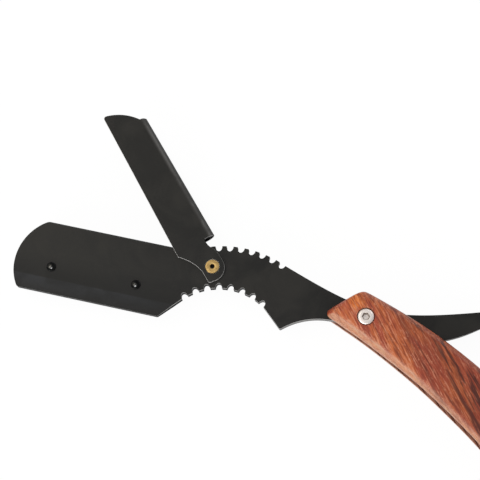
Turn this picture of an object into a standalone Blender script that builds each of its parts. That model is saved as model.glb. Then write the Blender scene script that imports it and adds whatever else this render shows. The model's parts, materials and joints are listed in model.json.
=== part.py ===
"""Replaceable blade straight razor, lying open on its back scale, in metres with +Z up.

The origin is where the pivot axis meets the flat underside of the pivot post.
The handle is the fixed body. The blade holder turns on the pivot post, and the
cover leaf turns on a tubular rivet in the holder.
"""
import math

import bmesh
import bpy
from mathutils import Vector

# How the three frames lie, in degrees about +Z
HANDLE_HEADING = -32.0        # handle's own +X, from the pivot towards the far end
HOLDER_HEADING = -12.0        # holder's own +X, from the toe towards the pivot
LEAF_OPEN_ANGLE = -47.6       # cover leaf, counted from lying closed on the holder

# Levels above and below the middle plane of the razor
PLATE_THICKNESS = 0.0030
LEAF_THICKNESS = 0.0008
SCALE_THICKNESS = 0.0034      # at the belly; at the pivot a scale is thicker on its inside
HEAD_STANDS_OUT = 0.0002      # screw and post heads, beyond the scales' outer faces

# Clearances
SEAT_GAP = 0.0001             # between fixed faces that bear on each other
TURNING_GAP = 0.00008         # around a shaft that something turns on
SHEET_GAP = 0.00015           # between the plate and the cover leaf, where the blade goes
PLATE_ROOM = 0.00025          # between the plate and a scale, at the pivot
LEAF_ROOM = 0.00085           # between the closed leaf and a scale, at the belly
SPINE_ROOM = 0.0013           # between the spine and the inside of the closed leaf's fold
HEAD_ROOM = 0.0003            # around a head in its seat
CUT_OVERRUN = 0.001

# Paddle of the holder
SPINE_HEIGHT = 0.0118         # spine edge above the pivot line
PADDLE_HEIGHT = 0.0265
PADDLE_LENGTH = 0.0573        # from the heel to the foremost point of the toe
TOE_DROP = 0.0041             # toe's foremost point below the pivot line
TOE_SETBACK = 0.00895         # from there back to where the toe's arc meets the spine
TOE_CORNER_RADIUS = 0.0014
TOE_CORNER_RUN = 0.0024       # length of toe arc that its rounded corners take up
HEEL_REACH = 0.0742
HEEL_RADIUS = 0.0010
SPINE_BREAK = 0.0005          # chamfer along the spine, under the leaf's fold
EDGE_BEVEL_WIDTH = 0.0055     # bevelled band along the cutting side
EDGE_BEVEL_DEPTH = 0.0005
BLADE_WIDTH = 0.022           # double-edge blade that the paddle is made for
BLADE_EXPOSURE = 0.0013       # how far that blade's edge stands past the paddle
PIN_SPACING = 0.0325
PIN_OFFSET = 0.0019           # middle of the pins, from the paddle's middle towards the heel

# Finger grooves along the top and bottom of the shank
TOP_GRIP_CROWN = (-0.0486, 0.0168)       # highest point of the arc
TOP_GRIP_RADIUS = 0.0400
TOP_GROOVE_DEPTH = 0.0019
TOP_GROOVE_PITCH = 0.00415
TOP_GROOVE_COUNT = 9
TOP_GRIP_TURN = -25.7         # middle of the first groove, in degrees clockwise from +Y
BOTTOM_GRIP_CROWN = (-0.0500, 0.00075)
BOTTOM_GRIP_RADIUS = 0.02305
BOTTOM_GROOVE_DEPTH = 0.0018
BOTTOM_GROOVE_PITCH = 0.00431
BOTTOM_GROOVE_COUNT = 8
BOTTOM_GRIP_TURN = -43.7
GROOVE_MOUTH_SHARE = 0.62     # mouth of a groove, of the pitch
TOOTH_BREAK = 0.0005          # slanted corners of the teeth between the grooves

# Spur, shank and tail
SPUR_HEADING = -42.0
SPUR_RADIUS = 0.0006
ARCH_CROWN = (-0.0115, -0.0028)
ARCH_RADIUS = 0.0260
ARCH_END_TURN = 16.0
BOSS_DEPTH = 0.0054           # edge of the shank below the pivot
BOSS_PULL = 0.0020
SHANK_HEADING = -19.5
SHANK_PULL = 0.034
TAIL_REACH = 0.0493           # from the pivot to where the tail's tip starts
TAIL_RISE = 0.0145            # tail's tip above the pivot line
TAIL_TIP_WIDTH = 0.0021
TAIL_TOP_START = (0.0394, 0.0114)
TAIL_TOP_HEADING = 17.5
TAIL_TOP_PULL = 0.0345
TAIL_UNDER_HEADING = 38.0
TAIL_UNDER_PULL = 0.019
TAIL_UNDER_ROOT_PULL = 0.027
TAIL_TAPER_START = 0.012
TAIL_TIP_THICKNESS = 0.0011

# Cover leaf, from the rivet that it turns on
RIVET_REACH = 0.0586
RIVET_RISE = 0.0074
LEAF_LIP_WIDTH = 0.0045
LEAF_CHANNEL_NEAR = 0.0107    # near end of the fold, from the rivet
LEAF_HEEL_REACH = 0.0095
LEAF_HEEL_DROP = 0.0092
LEAF_TIP_DROP = 0.0077
LEAF_CORNER_RADIUS = 0.0010
LEAF_CORNER_RUN = 0.0018
EAR_DROP = 0.00085            # middle of the ear's arc, below the rivet
EAR_RADIUS = 0.00525
EAR_START_TURN = -18.0        # where its arc starts, in degrees from the leaf's own +X
EAR_FOOT_REACH = 0.0049
EAR_FOOT_DROP = 0.0041
EAR_FOOT_RADIUS = 0.0009
EAR_NECK_REACH = 0.0064
EAR_NECK_RISE = 0.0034
EAR_NECK_HEADING = -130.0
EAR_BACK_HEADING = -157.0     # how its back arrives at the neck
EAR_BACK_PULL = 0.0024
EAR_NOTCH_DEPTH = 0.0010
EAR_NOTCH_PULL = 0.0013
EAR_SWEEP_HEADING = 45.0
EAR_SWEEP_END_HEADING = 8.0
EAR_SWEEP_PULL = 0.0036

# Tubular rivet
RIVET_FLANGE_RADIUS = 0.00255
RIVET_FLANGE_THICKNESS = 0.00045
RIVET_SHANK_RADIUS = 0.0016
RIVET_BORE_RADIUS = 0.00088
RIVET_SINK = 0.0003           # how deep its flange is let into the leaf
RIVET_LIP = 0.00015           # rounding of the flange's rims

# Locating pins of the blade
PIN_RADIUS = 0.00175
PIN_SHANK_RADIUS = 0.0012
PIN_DOME_HEIGHT = 0.0007
PIN_RIM_HEIGHT = 0.0002

# Handle scales, in the handle's own frame
HANDLE_REACH = 0.152          # from the pivot to the far end
HANDLE_CURVE_RADIUS = 0.215
HANDLE_EASE_START = 0.048     # from here the curve eases out
HANDLE_EASE_END = 0.088       # beyond this the handle runs straight
HANDLE_UPPER_WIDTH = 0.0103   # widest, above the line through the pivot
HANDLE_LOWER_WIDTH = 0.0095
HANDLE_NOSE_UPPER = 0.0067    # slanted front end, ahead of the pivot
HANDLE_NOSE_LOWER = 0.0133
HANDLE_NOSE_BLEND = 0.012     # where the slanted stations have turned square
HANDLE_NOSE_BULGE = 0.0005
NOSE_UPPER_RADIUS = 0.0028
NOSE_LOWER_RADIUS = 0.0018
HANDLE_ROUND_END = 0.013
SCALE_EDGE_ROUND = 0.0030
SCALE_END_ROUND = 0.0020
SCALE_EDGE_WALL = 0.0010      # upright wall under the rounded edge
SCALE_STATION_STEP = 0.0085
SCALE_SPREAD_START = 0.006    # the scales spread apart from here
SCALE_SPREAD_END = 0.046      # to here
RIM_SHARE = 0.45              # most of the width that one rounded edge may take
WIDTH_PLACE_SHARES = (-0.09, 0.0, 0.2, 0.4, 0.6, 0.8, 1.0)
UPPER_WIDTH_SHARES = (0.80, 0.84, 0.95, 0.985, 1.0, 0.95, 0.86)
LOWER_WIDTH_SHARES = (0.635, 0.745, 0.895, 0.965, 1.0, 0.97, 0.88)
EDGE_DEPTH_SHARES = (0.0, 0.07, 0.27, 0.6, 1.0)
END_REACH_SHARES = (0.3, 0.55, 0.75, 0.88, 0.96, 0.99)

# Screw, post and washers
HEAD_RADIUS = 0.0031
HEAD_SEAT_DEPTH = 0.0015      # let into the scales' outer faces
HEAD_RIM_HEIGHT = 0.0006
HEAD_FLAT_RADIUS = 0.0019     # flat top of the button head
HEAD_EDGE_BREAK = 0.0003
HEX_ACROSS_FLATS = 0.0025
HEX_DEPTH = 0.0013
POST_RADIUS = 0.0020
POST_WEB = 0.0013             # left solid between the bore and the post's head
SCREW_RADIUS = 0.00125
SCREW_SHORT_OF_BORE = 0.0006
WASHER_RADIUS = 0.0045
WASHER_THICKNESS = 0.0008

# End spacer between the scales
SPACER_LENGTH = 0.016
SPACER_INSET = 0.0012
SPACER_HOLLOW = 0.0022        # depth of its hollowed front
END_SCREW_FROM_END = 0.0085

# Roundness of curves, in steps
ROUND_STEPS = 32
SMALL_ROUND_STEPS = 24
CORNER_STEPS = 3
ARC_STEPS = 10
GROOVE_STEPS = 6
MIDDLE_STEPS = 16

# Levels that follow from the sizes
plate_half = PLATE_THICKNESS / 2
leaf_inner = plate_half + SHEET_GAP
leaf_outer = leaf_inner + LEAF_THICKNESS
pivot_inner = plate_half + PLATE_ROOM
belly_inner = leaf_outer + LEAF_ROOM
scale_outer = belly_inner + SCALE_THICKNESS
head_level = scale_outer + HEAD_STANDS_OUT
head_seat = scale_outer - HEAD_SEAT_DEPTH

# Places that follow from the sizes
paddle_edge = SPINE_HEIGHT - PADDLE_HEIGHT
toe_reach = HEEL_REACH + PADDLE_LENGTH
toe_rise = SPINE_HEIGHT + TOE_DROP
toe_radius = (toe_rise**2 + TOE_SETBACK**2) / (2 * TOE_SETBACK)
toe_centre = (toe_radius - toe_reach, -TOE_DROP)
pin_line = paddle_edge + BLADE_WIDTH / 2 - BLADE_EXPOSURE
pin_middle = HEEL_REACH + PADDLE_LENGTH / 2 - PIN_OFFSET
heel_pin_place = (PIN_SPACING / 2 - pin_middle, pin_line)
toe_pin_place = (-PIN_SPACING / 2 - pin_middle, pin_line)
top_grip_centre = (TOP_GRIP_CROWN[0], TOP_GRIP_CROWN[1] - TOP_GRIP_RADIUS)
bottom_grip_centre = (BOTTOM_GRIP_CROWN[0], BOTTOM_GRIP_CROWN[1] - BOTTOM_GRIP_RADIUS)
arch_centre = (ARCH_CROWN[0], ARCH_CROWN[1] - ARCH_RADIUS)
rivet_place = (-RIVET_REACH, RIVET_RISE)
fold_rise = SPINE_HEIGHT - RIVET_RISE + SPINE_ROOM + LEAF_THICKNESS


def clear_scene():
    """Start from an empty file."""
    for thing in list(bpy.data.objects):
        bpy.data.objects.remove(thing, do_unlink=True)


def surface(name, colour, roughness, metallic):
    """A plain finish in the piece's colour."""
    material = bpy.data.materials.new(name)
    material.use_nodes = True
    shader = material.node_tree.nodes["Principled BSDF"]
    shader.inputs["Base Color"].default_value = (*colour, 1.0)
    shader.inputs["Roughness"].default_value = roughness
    shader.inputs["Metallic"].default_value = metallic
    return material


def frame_empty(name, place, turn, parent=None):
    """An empty that carries one moving group on its joint's axis."""
    empty = bpy.data.objects.new(name, None)
    empty.location = place
    empty.rotation_euler = (0.0, 0.0, math.radians(turn))
    empty.parent = parent
    bpy.context.scene.collection.objects.link(empty)
    return empty


def finish_mesh(bm, name, parent, material):
    """Turn a bmesh into a named object under its empty."""
    bmesh.ops.recalc_face_normals(bm, faces=bm.faces)
    mesh = bpy.data.meshes.new(name)
    bm.to_mesh(mesh)
    bm.free()
    mesh.shade_smooth()
    mesh.set_sharp_from_angle(angle=math.radians(35.0))
    piece = bpy.data.objects.new(name, mesh)
    piece.parent = parent
    if material is not None:
        mesh.materials.append(material)
    bpy.context.scene.collection.objects.link(piece)
    return piece


def cut(piece, cutter):
    """Take a cutter's volume out of a piece."""
    cutter.hide_render = True
    cutter.display_type = "WIRE"
    boolean = piece.modifiers.new("cut_" + cutter.name, "BOOLEAN")
    boolean.operation = "DIFFERENCE"
    boolean.solver = "EXACT"
    boolean.object = cutter


def polar(centre, radius, turn):
    """A point at a turn counted in degrees, counter-clockwise from +X."""
    angle = math.radians(turn)
    return (centre[0] + radius * math.cos(angle), centre[1] + radius * math.sin(angle))


def arc(centre, radius, start, end, steps):
    """Points along an arc, both ends included."""
    return [polar(centre, radius, start + (end - start) * i / steps) for i in range(steps + 1)]


def curve(start, start_heading, start_pull, end, end_heading, end_pull, steps):
    """Points along a cubic curve that leaves and arrives along given headings."""
    a = Vector(start)
    d = Vector(end)
    b = Vector(polar(start, start_pull, start_heading))
    c = Vector(polar(end, end_pull, end_heading + 180.0))
    points = []
    for i in range(steps + 1):
        t = i / steps
        u = 1.0 - t
        points.append(tuple(a * u**3 + b * (3 * u * u * t) + c * (3 * u * t * t) + d * t**3))
    return points


def rounded(before, corner, after, radius):
    """The corner between two straight runs as an arc tangent to both."""
    corner = Vector(corner)
    back = (Vector(before) - corner).normalized()
    ahead = (Vector(after) - corner).normalized()
    half = back.angle(ahead) / 2
    centre = corner + (back + ahead).normalized() * (radius / math.sin(half))
    first = corner + back * (radius / math.tan(half)) - centre
    last = corner + ahead * (radius / math.tan(half)) - centre
    sweep = first.angle_signed(last)
    points = []
    for i in range(CORNER_STEPS + 1):
        angle = -sweep * i / CORNER_STEPS
        turned_x = first.x * math.cos(angle) - first.y * math.sin(angle)
        turned_y = first.x * math.sin(angle) + first.y * math.cos(angle)
        points.append((centre.x + turned_x, centre.y + turned_y))
    return points


def grooved_arc(centre, radius, depth, pitch, count, first_turn):
    """An arc with round-bottomed grooves; turns run clockwise from +Y, and a depth below 0 cuts inwards."""
    pitch_turn = math.degrees(pitch / radius)
    break_turn = math.degrees(TOOTH_BREAK / radius)
    points = []
    for k in range(count):
        middle = first_turn + k * pitch_turn
        mouth_turn = pitch_turn * GROOVE_MOUTH_SHARE / 2
        points.append(polar(centre, radius, 90.0 - middle + mouth_turn + break_turn))
        for i in range(GROOVE_STEPS + 1):
            swing = math.pi * (i / GROOVE_STEPS - 0.5)
            reach = math.copysign(max(abs(depth) * math.cos(swing), TOOTH_BREAK), depth)
            turn = 90.0 - middle - mouth_turn * math.sin(swing)
            points.append(polar(centre, radius + reach, turn))
        points.append(polar(centre, radius, 90.0 - middle - mouth_turn - break_turn))
    return points


def prism(name, outline, low, high, parent, material):
    """An outline, counter-clockwise, raised from one level to another."""
    bm = bmesh.new()
    base = [bm.verts.new((x, y, low)) for x, y in outline]
    top = [bm.verts.new((x, y, high)) for x, y in outline]
    bm.faces.new(list(reversed(base)))
    bm.faces.new(top)
    for i in range(len(outline)):
        j = (i + 1) % len(outline)
        bm.faces.new((base[i], base[j], top[j], top[i]))
    return finish_mesh(bm, name, parent, material)


def add_turned(bm, profile, place, steps):
    """Turn a profile of (radius, level) points about an upright axis and close it."""
    rings = []
    for radius, level in profile:
        if radius == 0:
            rings.append([bm.verts.new((place[0], place[1], level))])
        else:
            turn = 360.0 / steps
            rings.append([bm.verts.new((*polar(place, radius, turn * k), level)) for k in range(steps)])
    closed = len(rings[0]) > 1
    spans = len(rings) if closed else len(rings) - 1
    for i in range(spans):
        ring = rings[i]
        after = rings[(i + 1) % len(rings)]
        for k in range(steps):
            m = (k + 1) % steps
            if len(ring) == 1:
                bm.faces.new((ring[0], after[m], after[k]))
            elif len(after) == 1:
                bm.faces.new((ring[k], ring[m], after[0]))
            else:
                bm.faces.new((ring[k], ring[m], after[m], after[k]))


def turned(name, profile, place, steps, parent, material):
    """A turned piece of its own."""
    bm = bmesh.new()
    add_turned(bm, profile, place, steps)
    return finish_mesh(bm, name, parent, material)


def cutters(name, profiles, parent, steps=ROUND_STEPS):
    """Several turned cutters in one object, given as (place, profile) pairs."""
    bm = bmesh.new()
    for place, profile in profiles:
        add_turned(bm, profile, place, steps)
    return finish_mesh(bm, name, parent, None)


def hole(radius, low, high):
    """Profile of a plain round cutter."""
    return [(0, low), (radius, low), (radius, high), (0, high)]


def stepped_hole(radius, low, step, wide_radius, high):
    """Profile of a round cutter that widens at a step."""
    return [(0, low), (radius, low), (radius, step), (wide_radius, step), (wide_radius, high), (0, high)]


def smooth_step(share):
    """0 to 1 with level ends."""
    share = min(max(share, 0.0), 1.0)
    return share * share * (3.0 - 2.0 * share)


def from_shares(places, values, along):
    """Read a table of shares as a smooth curve through its places."""
    last = len(places) - 1
    along = min(max(along, places[0]), places[last])
    i = 0
    while i < last - 1 and along > places[i + 1]:
        i += 1
    slopes = []
    for k in (i, i + 1):
        before = max(k - 1, 0)
        after = min(k + 1, last)
        slopes.append((values[after] - values[before]) / (places[after] - places[before]))
    run = places[i + 1] - places[i]
    t = (along - places[i]) / run
    start = values[i] + slopes[0] * run * t
    end = values[i + 1] - slopes[1] * run * (1.0 - t)
    return start + (end - start) * smooth_step(t)


def quarter_round(depth, radius):
    """Height share of a rounded edge at a depth in from it."""
    inside = 1.0 - min(depth / radius, 1.0)
    return math.sqrt(max(0.0, 1.0 - inside * inside))


def toe_turn(height):
    """Where the toe's arc stands at a height above its centre, in degrees from +X."""
    return 180.0 - math.degrees(math.asin(height / toe_radius))


def holder_outline():
    """The steel plate from toe to tail, counter-clockwise."""
    corner_turn = math.degrees(TOE_CORNER_RUN / toe_radius)
    low_turn = toe_turn(paddle_edge + TOE_DROP)
    high_turn = toe_turn(toe_rise)
    low_corner = polar(toe_centre, toe_radius, low_turn)
    high_corner = polar(toe_centre, toe_radius, high_turn)
    toe_low = polar(toe_centre, toe_radius, low_turn - corner_turn)
    toe_high = polar(toe_centre, toe_radius, high_turn + corner_turn)

    bottom_first = polar(bottom_grip_centre, BOTTOM_GRIP_RADIUS, 90.0 - BOTTOM_GRIP_TURN)
    heel = (-HEEL_REACH, paddle_edge)
    bottom_grip = grooved_arc(bottom_grip_centre, BOTTOM_GRIP_RADIUS, BOTTOM_GROOVE_DEPTH,
                              BOTTOM_GROOVE_PITCH, BOTTOM_GROOVE_COUNT, BOTTOM_GRIP_TURN)
    spur_root = Vector(bottom_grip[-1])
    spur_way = Vector(polar((0, 0), 1.0, SPUR_HEADING))
    reach = spur_root - Vector(arch_centre)
    along = -reach.dot(spur_way)
    miss = (reach + spur_way * along).length
    spur = spur_root + spur_way * (along - math.sqrt(ARCH_RADIUS**2 - miss**2))
    spur_turn = math.degrees(math.atan2(spur.y - arch_centre[1], spur.x - arch_centre[0]))
    arch = arc(arch_centre, ARCH_RADIUS, spur_turn, 90.0 - ARCH_END_TURN, ARC_STEPS)
    boss = (BOSS_PULL, -BOSS_DEPTH)
    boss_blend = curve(arch[-1], -ARCH_END_TURN, BOSS_PULL, boss, 0.0, BOSS_PULL, CORNER_STEPS)

    tip_low = (TAIL_REACH, TAIL_RISE - TAIL_TIP_WIDTH)
    under = curve(boss, 0.0, TAIL_UNDER_ROOT_PULL,
                  tip_low, TAIL_UNDER_HEADING, TAIL_UNDER_PULL, ARC_STEPS + 2)
    tip_middle = (TAIL_REACH, TAIL_RISE - TAIL_TIP_WIDTH / 2)
    tip = arc(tip_middle, TAIL_TIP_WIDTH / 2, -90.0, 90.0, CORNER_STEPS * 2)
    top_grip = grooved_arc(top_grip_centre, TOP_GRIP_RADIUS, -TOP_GROOVE_DEPTH,
                           TOP_GROOVE_PITCH, TOP_GROOVE_COUNT, TOP_GRIP_TURN)
    ramp = top_grip[-1]
    over = curve(TAIL_TOP_START, TAIL_TOP_HEADING + 180.0, TAIL_TOP_PULL,
                 ramp, SHANK_HEADING + 180.0, SHANK_PULL, ARC_STEPS + 2)
    grip_start = math.degrees(math.acos((SPINE_HEIGHT - top_grip_centre[1]) / TOP_GRIP_RADIUS))
    spine_end = polar(top_grip_centre, TOP_GRIP_RADIUS, 90.0 + grip_start)

    outline = []
    outline += rounded(toe_low, low_corner, heel, TOE_CORNER_RADIUS)
    outline += rounded(low_corner, heel, bottom_first, HEEL_RADIUS)
    outline += bottom_grip
    outline += rounded(spur_root, spur, arch[1], SPUR_RADIUS)
    outline += arch[1:]
    outline += boss_blend[1:]
    outline += under[1:]
    outline += tip[1:]
    outline += over
    outline += list(reversed(top_grip))[1:]
    outline += [spine_end]
    outline += rounded(spine_end, high_corner, toe_high, TOE_CORNER_RADIUS)
    outline += arc(toe_centre, toe_radius, high_turn + corner_turn, low_turn - corner_turn, ARC_STEPS)
    return outline


def run_cutter(name, near, far, parent):
    """A straight cutter between two like cross-sections."""
    bm = bmesh.new()
    first = [bm.verts.new(p) for p in near]
    last = [bm.verts.new(p) for p in far]
    bm.faces.new(first)
    bm.faces.new(list(reversed(last)))
    for i in range(len(near)):
        j = (i + 1) % len(near)
        bm.faces.new((first[j], first[i], last[i], last[j]))
    return finish_mesh(bm, name, parent, None)


def lengthwise_cutter(name, section, start, end, parent):
    """A cutter with a (y, z) section that runs along X."""
    near = [(start, y, z) for y, z in section]
    far = [(end, y, z) for y, z in section]
    return run_cutter(name, near, far, parent)


def build_holder(parent, steel):
    """The holder plate with its bevels, thinned tail and holes."""
    plate = prism("holder_plate", holder_outline(), -plate_half, plate_half, parent, steel)
    toe_end = -toe_reach - CUT_OVERRUN
    heel_end = -HEEL_REACH + EDGE_BEVEL_WIDTH + CUT_OVERRUN
    spine_near = -RIVET_REACH - LEAF_CHANNEL_NEAR
    over = plate_half + CUT_OVERRUN
    edge_over = CUT_OVERRUN * EDGE_BEVEL_DEPTH / EDGE_BEVEL_WIDTH
    tip_half = TAIL_TIP_THICKNESS / 2
    tail_end = TAIL_REACH + TAIL_TIP_WIDTH
    tip_over = CUT_OVERRUN * (plate_half - tip_half) / (tail_end - TAIL_TAPER_START)
    for side, label in ((1, "front"), (-1, "back")):
        bevel = [
            (paddle_edge + EDGE_BEVEL_WIDTH, side * plate_half),
            (paddle_edge - CUT_OVERRUN, side * (plate_half - EDGE_BEVEL_DEPTH - edge_over)),
            (paddle_edge - CUT_OVERRUN, side * over),
            (paddle_edge + EDGE_BEVEL_WIDTH, side * over),
        ]
        cut(plate, lengthwise_cutter("edge_bevel_" + label, bevel, toe_end, heel_end, parent))
        chamfer = [
            (SPINE_HEIGHT - SPINE_BREAK - CUT_OVERRUN, side * over),
            (SPINE_HEIGHT + CUT_OVERRUN, side * (plate_half - SPINE_BREAK - CUT_OVERRUN)),
            (SPINE_HEIGHT + CUT_OVERRUN, side * over),
        ]
        cut(plate, lengthwise_cutter("spine_break_" + label, chamfer, toe_end, spine_near, parent))
        taper = [
            (TAIL_TAPER_START, side * plate_half),
            (tail_end + CUT_OVERRUN, side * (tip_half - tip_over)),
            (tail_end + CUT_OVERRUN, side * over),
            (TAIL_TAPER_START, side * over),
        ]
        near = [(x, -TAIL_REACH, z) for x, z in taper]
        far = [(x, TAIL_REACH, z) for x, z in taper]
        cut(plate, run_cutter("tail_taper_" + label, near, far, parent))
    holes = [((0, 0), hole(POST_RADIUS + TURNING_GAP, -over, over))]
    holes.append((rivet_place, hole(RIVET_SHANK_RADIUS + TURNING_GAP, -over, over)))
    for place in (heel_pin_place, toe_pin_place):
        holes.append((place, hole(PIN_SHANK_RADIUS + SEAT_GAP, -over, over)))
    cut(plate, cutters("holder_holes", holes, parent))
    return plate


def build_pin(name, place, parent, steel):
    """A domed locating pin, riveted through the paddle."""
    base = plate_half + SEAT_GAP
    crown = base + PIN_RIM_HEIGHT
    shank = PIN_SHANK_RADIUS
    profile = [(0, -plate_half), (shank, -plate_half), (shank, base), (PIN_RADIUS, base)]
    for i in range(CORNER_STEPS + 1):
        swing = math.pi / 2 * i / CORNER_STEPS
        level = crown + (PIN_DOME_HEIGHT - PIN_RIM_HEIGHT) * math.sin(swing)
        radius = PIN_RADIUS * math.cos(swing) if i < CORNER_STEPS else 0
        profile.append((radius, level))
    return turned(name, profile, place, SMALL_ROUND_STEPS, parent, steel)


def leaf_outline():
    """The flat front of the cover leaf, counter-clockwise; its first and last points end the fold line."""
    fold_line = fold_rise - leaf_outer
    tip_centre = (toe_centre[0] - rivet_place[0], toe_centre[1] - rivet_place[1])
    top_turn = toe_turn(fold_line - tip_centre[1])
    tip_low_turn = toe_turn(-LEAF_TIP_DROP - tip_centre[1])
    tip_corner = polar(tip_centre, toe_radius, tip_low_turn)
    corner_turn = math.degrees(LEAF_CORNER_RUN / toe_radius)
    fold_near = (-LEAF_CHANNEL_NEAR, fold_line)
    heel = (-LEAF_HEEL_REACH, -LEAF_HEEL_DROP)
    foot = (EAR_FOOT_REACH, -EAR_FOOT_DROP)
    sweep = curve(heel, EAR_SWEEP_HEADING, EAR_SWEEP_PULL,
                  (0, -EAR_FOOT_DROP), EAR_SWEEP_END_HEADING, EAR_SWEEP_PULL, CORNER_STEPS * 2)
    ear = arc((0, -EAR_DROP), EAR_RADIUS, EAR_START_TURN, 90.0, CORNER_STEPS * 3)
    neck = (-EAR_NECK_REACH, EAR_NECK_RISE)
    back = curve(ear[-1], 180.0, EAR_BACK_PULL, neck, EAR_BACK_HEADING, EAR_BACK_PULL, CORNER_STEPS)
    notch_end = (-LEAF_CHANNEL_NEAR, EAR_NECK_RISE - EAR_NOTCH_DEPTH)
    notch = curve(neck, EAR_NECK_HEADING, EAR_NOTCH_PULL, notch_end, 180.0, EAR_NOTCH_PULL, CORNER_STEPS)

    outline = arc(tip_centre, toe_radius, top_turn, tip_low_turn - corner_turn, CORNER_STEPS * 2)
    outline += rounded(outline[-1], tip_corner, heel, LEAF_CORNER_RADIUS)
    outline += sweep
    outline += rounded(sweep[-1], foot, ear[0], EAR_FOOT_RADIUS)
    outline += ear
    outline += back[1:-1]
    outline += notch
    outline += [fold_near]
    return outline


def build_leaf(parent, steel):
    """The cover leaf: a flat front whose top edge folds round into a channel with a narrow back lip."""
    outline = leaf_outline()
    fold_centre = fold_rise - leaf_outer
    lip_edge = fold_rise - LEAF_LIP_WIDTH
    bm = bmesh.new()
    front = [bm.verts.new((x, y, leaf_outer)) for x, y in outline]
    inside = [bm.verts.new((x, y, leaf_inner)) for x, y in outline]
    bm.faces.new(front)
    bm.faces.new(list(reversed(inside)))
    for i in range(len(outline) - 1):
        bm.faces.new((inside[i], inside[i + 1], front[i + 1], front[i]))
    outer_ends = [(front[0], front[-1])]
    inner_ends = [(inside[0], inside[-1])]
    for i in range(1, ARC_STEPS + 2):
        swing = math.pi * min(i, ARC_STEPS) / ARC_STEPS
        for ends, radius in ((outer_ends, leaf_outer), (inner_ends, leaf_inner)):
            y = fold_centre + radius * math.sin(swing) if i <= ARC_STEPS else lip_edge
            z = radius * math.cos(swing)
            far = bm.verts.new((outline[0][0], y, z))
            near = bm.verts.new((-LEAF_CHANNEL_NEAR, y, z))
            ends.append((far, near))
    for i in range(len(outer_ends) - 1):
        bm.faces.new((outer_ends[i][0], outer_ends[i][1], outer_ends[i + 1][1], outer_ends[i + 1][0]))
        bm.faces.new((inner_ends[i][1], inner_ends[i][0], inner_ends[i + 1][0], inner_ends[i + 1][1]))
        bm.faces.new((outer_ends[i][0], outer_ends[i + 1][0], inner_ends[i + 1][0], inner_ends[i][0]))
        bm.faces.new((outer_ends[i + 1][1], outer_ends[i][1], inner_ends[i][1], inner_ends[i + 1][1]))
    bm.faces.new((outer_ends[-1][0], outer_ends[-1][1], inner_ends[-1][1], inner_ends[-1][0]))
    leaf = finish_mesh(bm, "cover_leaf", parent, steel)
    bore = RIVET_SHANK_RADIUS + TURNING_GAP
    sink = RIVET_FLANGE_RADIUS + TURNING_GAP
    floor = leaf_outer - RIVET_SINK
    profile = stepped_hole(bore, leaf_inner - SHEET_GAP, floor, sink, leaf_outer + CUT_OVERRUN)
    cut(leaf, cutters("leaf_hole", [((0, 0), profile)], parent))
    return leaf


def build_rivet(parent, brass):
    """The tubular rivet: its front flange is let into the leaf, its back flange bears on the plate."""
    front_low = leaf_outer - RIVET_SINK + SEAT_GAP
    front_high = front_low + RIVET_FLANGE_THICKNESS
    back_high = -plate_half - SEAT_GAP
    back_low = back_high - RIVET_FLANGE_THICKNESS
    flange = RIVET_FLANGE_RADIUS
    bore = RIVET_BORE_RADIUS
    profile = [
        (RIVET_SHANK_RADIUS, front_low),
        (flange, front_low),
        (flange, front_high - RIVET_LIP),
        (flange - RIVET_LIP, front_high),
        (bore + RIVET_LIP, front_high),
        (bore, front_high - RIVET_LIP),
        (bore, back_low + RIVET_LIP),
        (bore + RIVET_LIP, back_low),
        (flange - RIVET_LIP, back_low),
        (flange, back_low + RIVET_LIP),
        (flange, back_high),
        (RIVET_SHANK_RADIUS, back_high),
    ]
    return turned("leaf_rivet", profile, rivet_place, SMALL_ROUND_STEPS, parent, brass)


def middle_turn(along):
    """How far the handle's middle curve has turned, in radians: an even bend that eases out."""
    ease = HANDLE_EASE_END - HANDLE_EASE_START
    share = min(max((along - HANDLE_EASE_START) / ease, 0.0), 1.0)
    return (min(along, HANDLE_EASE_START) + ease * (share - share * share / 2)) / HANDLE_CURVE_RADIUS


def handle_point(along, across):
    """A point of the handle: distance along its middle curve and distance up from it."""
    step = along / MIDDLE_STEPS
    x = 0.0
    y = 0.0
    for i in range(MIDDLE_STEPS):
        turn = middle_turn(step * (i + 0.5))
        x += step * math.cos(turn)
        y -= step * math.sin(turn)
    turn = middle_turn(along)
    return (x + across * math.sin(turn), y + across * math.cos(turn))


def round_end_share(along):
    """How much of its width the handle keeps towards its rounded far end."""
    into = (along - (HANDLE_REACH - HANDLE_ROUND_END)) / HANDLE_ROUND_END
    return math.sqrt(max(0.0, 1.0 - max(0.0, into)**2))


def corner_drop(from_end, radius):
    """How far a rounded corner draws an edge in."""
    return radius * (1.0 - quarter_round(from_end, radius))


def upper_edge(along):
    """Upper edge of the scales above the middle curve."""
    width = HANDLE_UPPER_WIDTH * from_shares(WIDTH_PLACE_SHARES, UPPER_WIDTH_SHARES, along / HANDLE_REACH)
    drop = corner_drop(along + HANDLE_NOSE_UPPER, NOSE_UPPER_RADIUS)
    return (width - drop) * round_end_share(along)


def lower_edge(along):
    """Lower edge of the scales below the middle curve."""
    width = HANDLE_LOWER_WIDTH * from_shares(WIDTH_PLACE_SHARES, LOWER_WIDTH_SHARES, along / HANDLE_REACH)
    drop = corner_drop(along + HANDLE_NOSE_LOWER, NOSE_LOWER_RADIUS)
    return (width - drop) * round_end_share(along)


def inner_level(along):
    """Level of a scale's inner face: close at the pivot, spread where the holder folds away."""
    share = smooth_step((along - SCALE_SPREAD_START) / (SCALE_SPREAD_END - SCALE_SPREAD_START))
    return pivot_inner + (belly_inner - pivot_inner) * share


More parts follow.
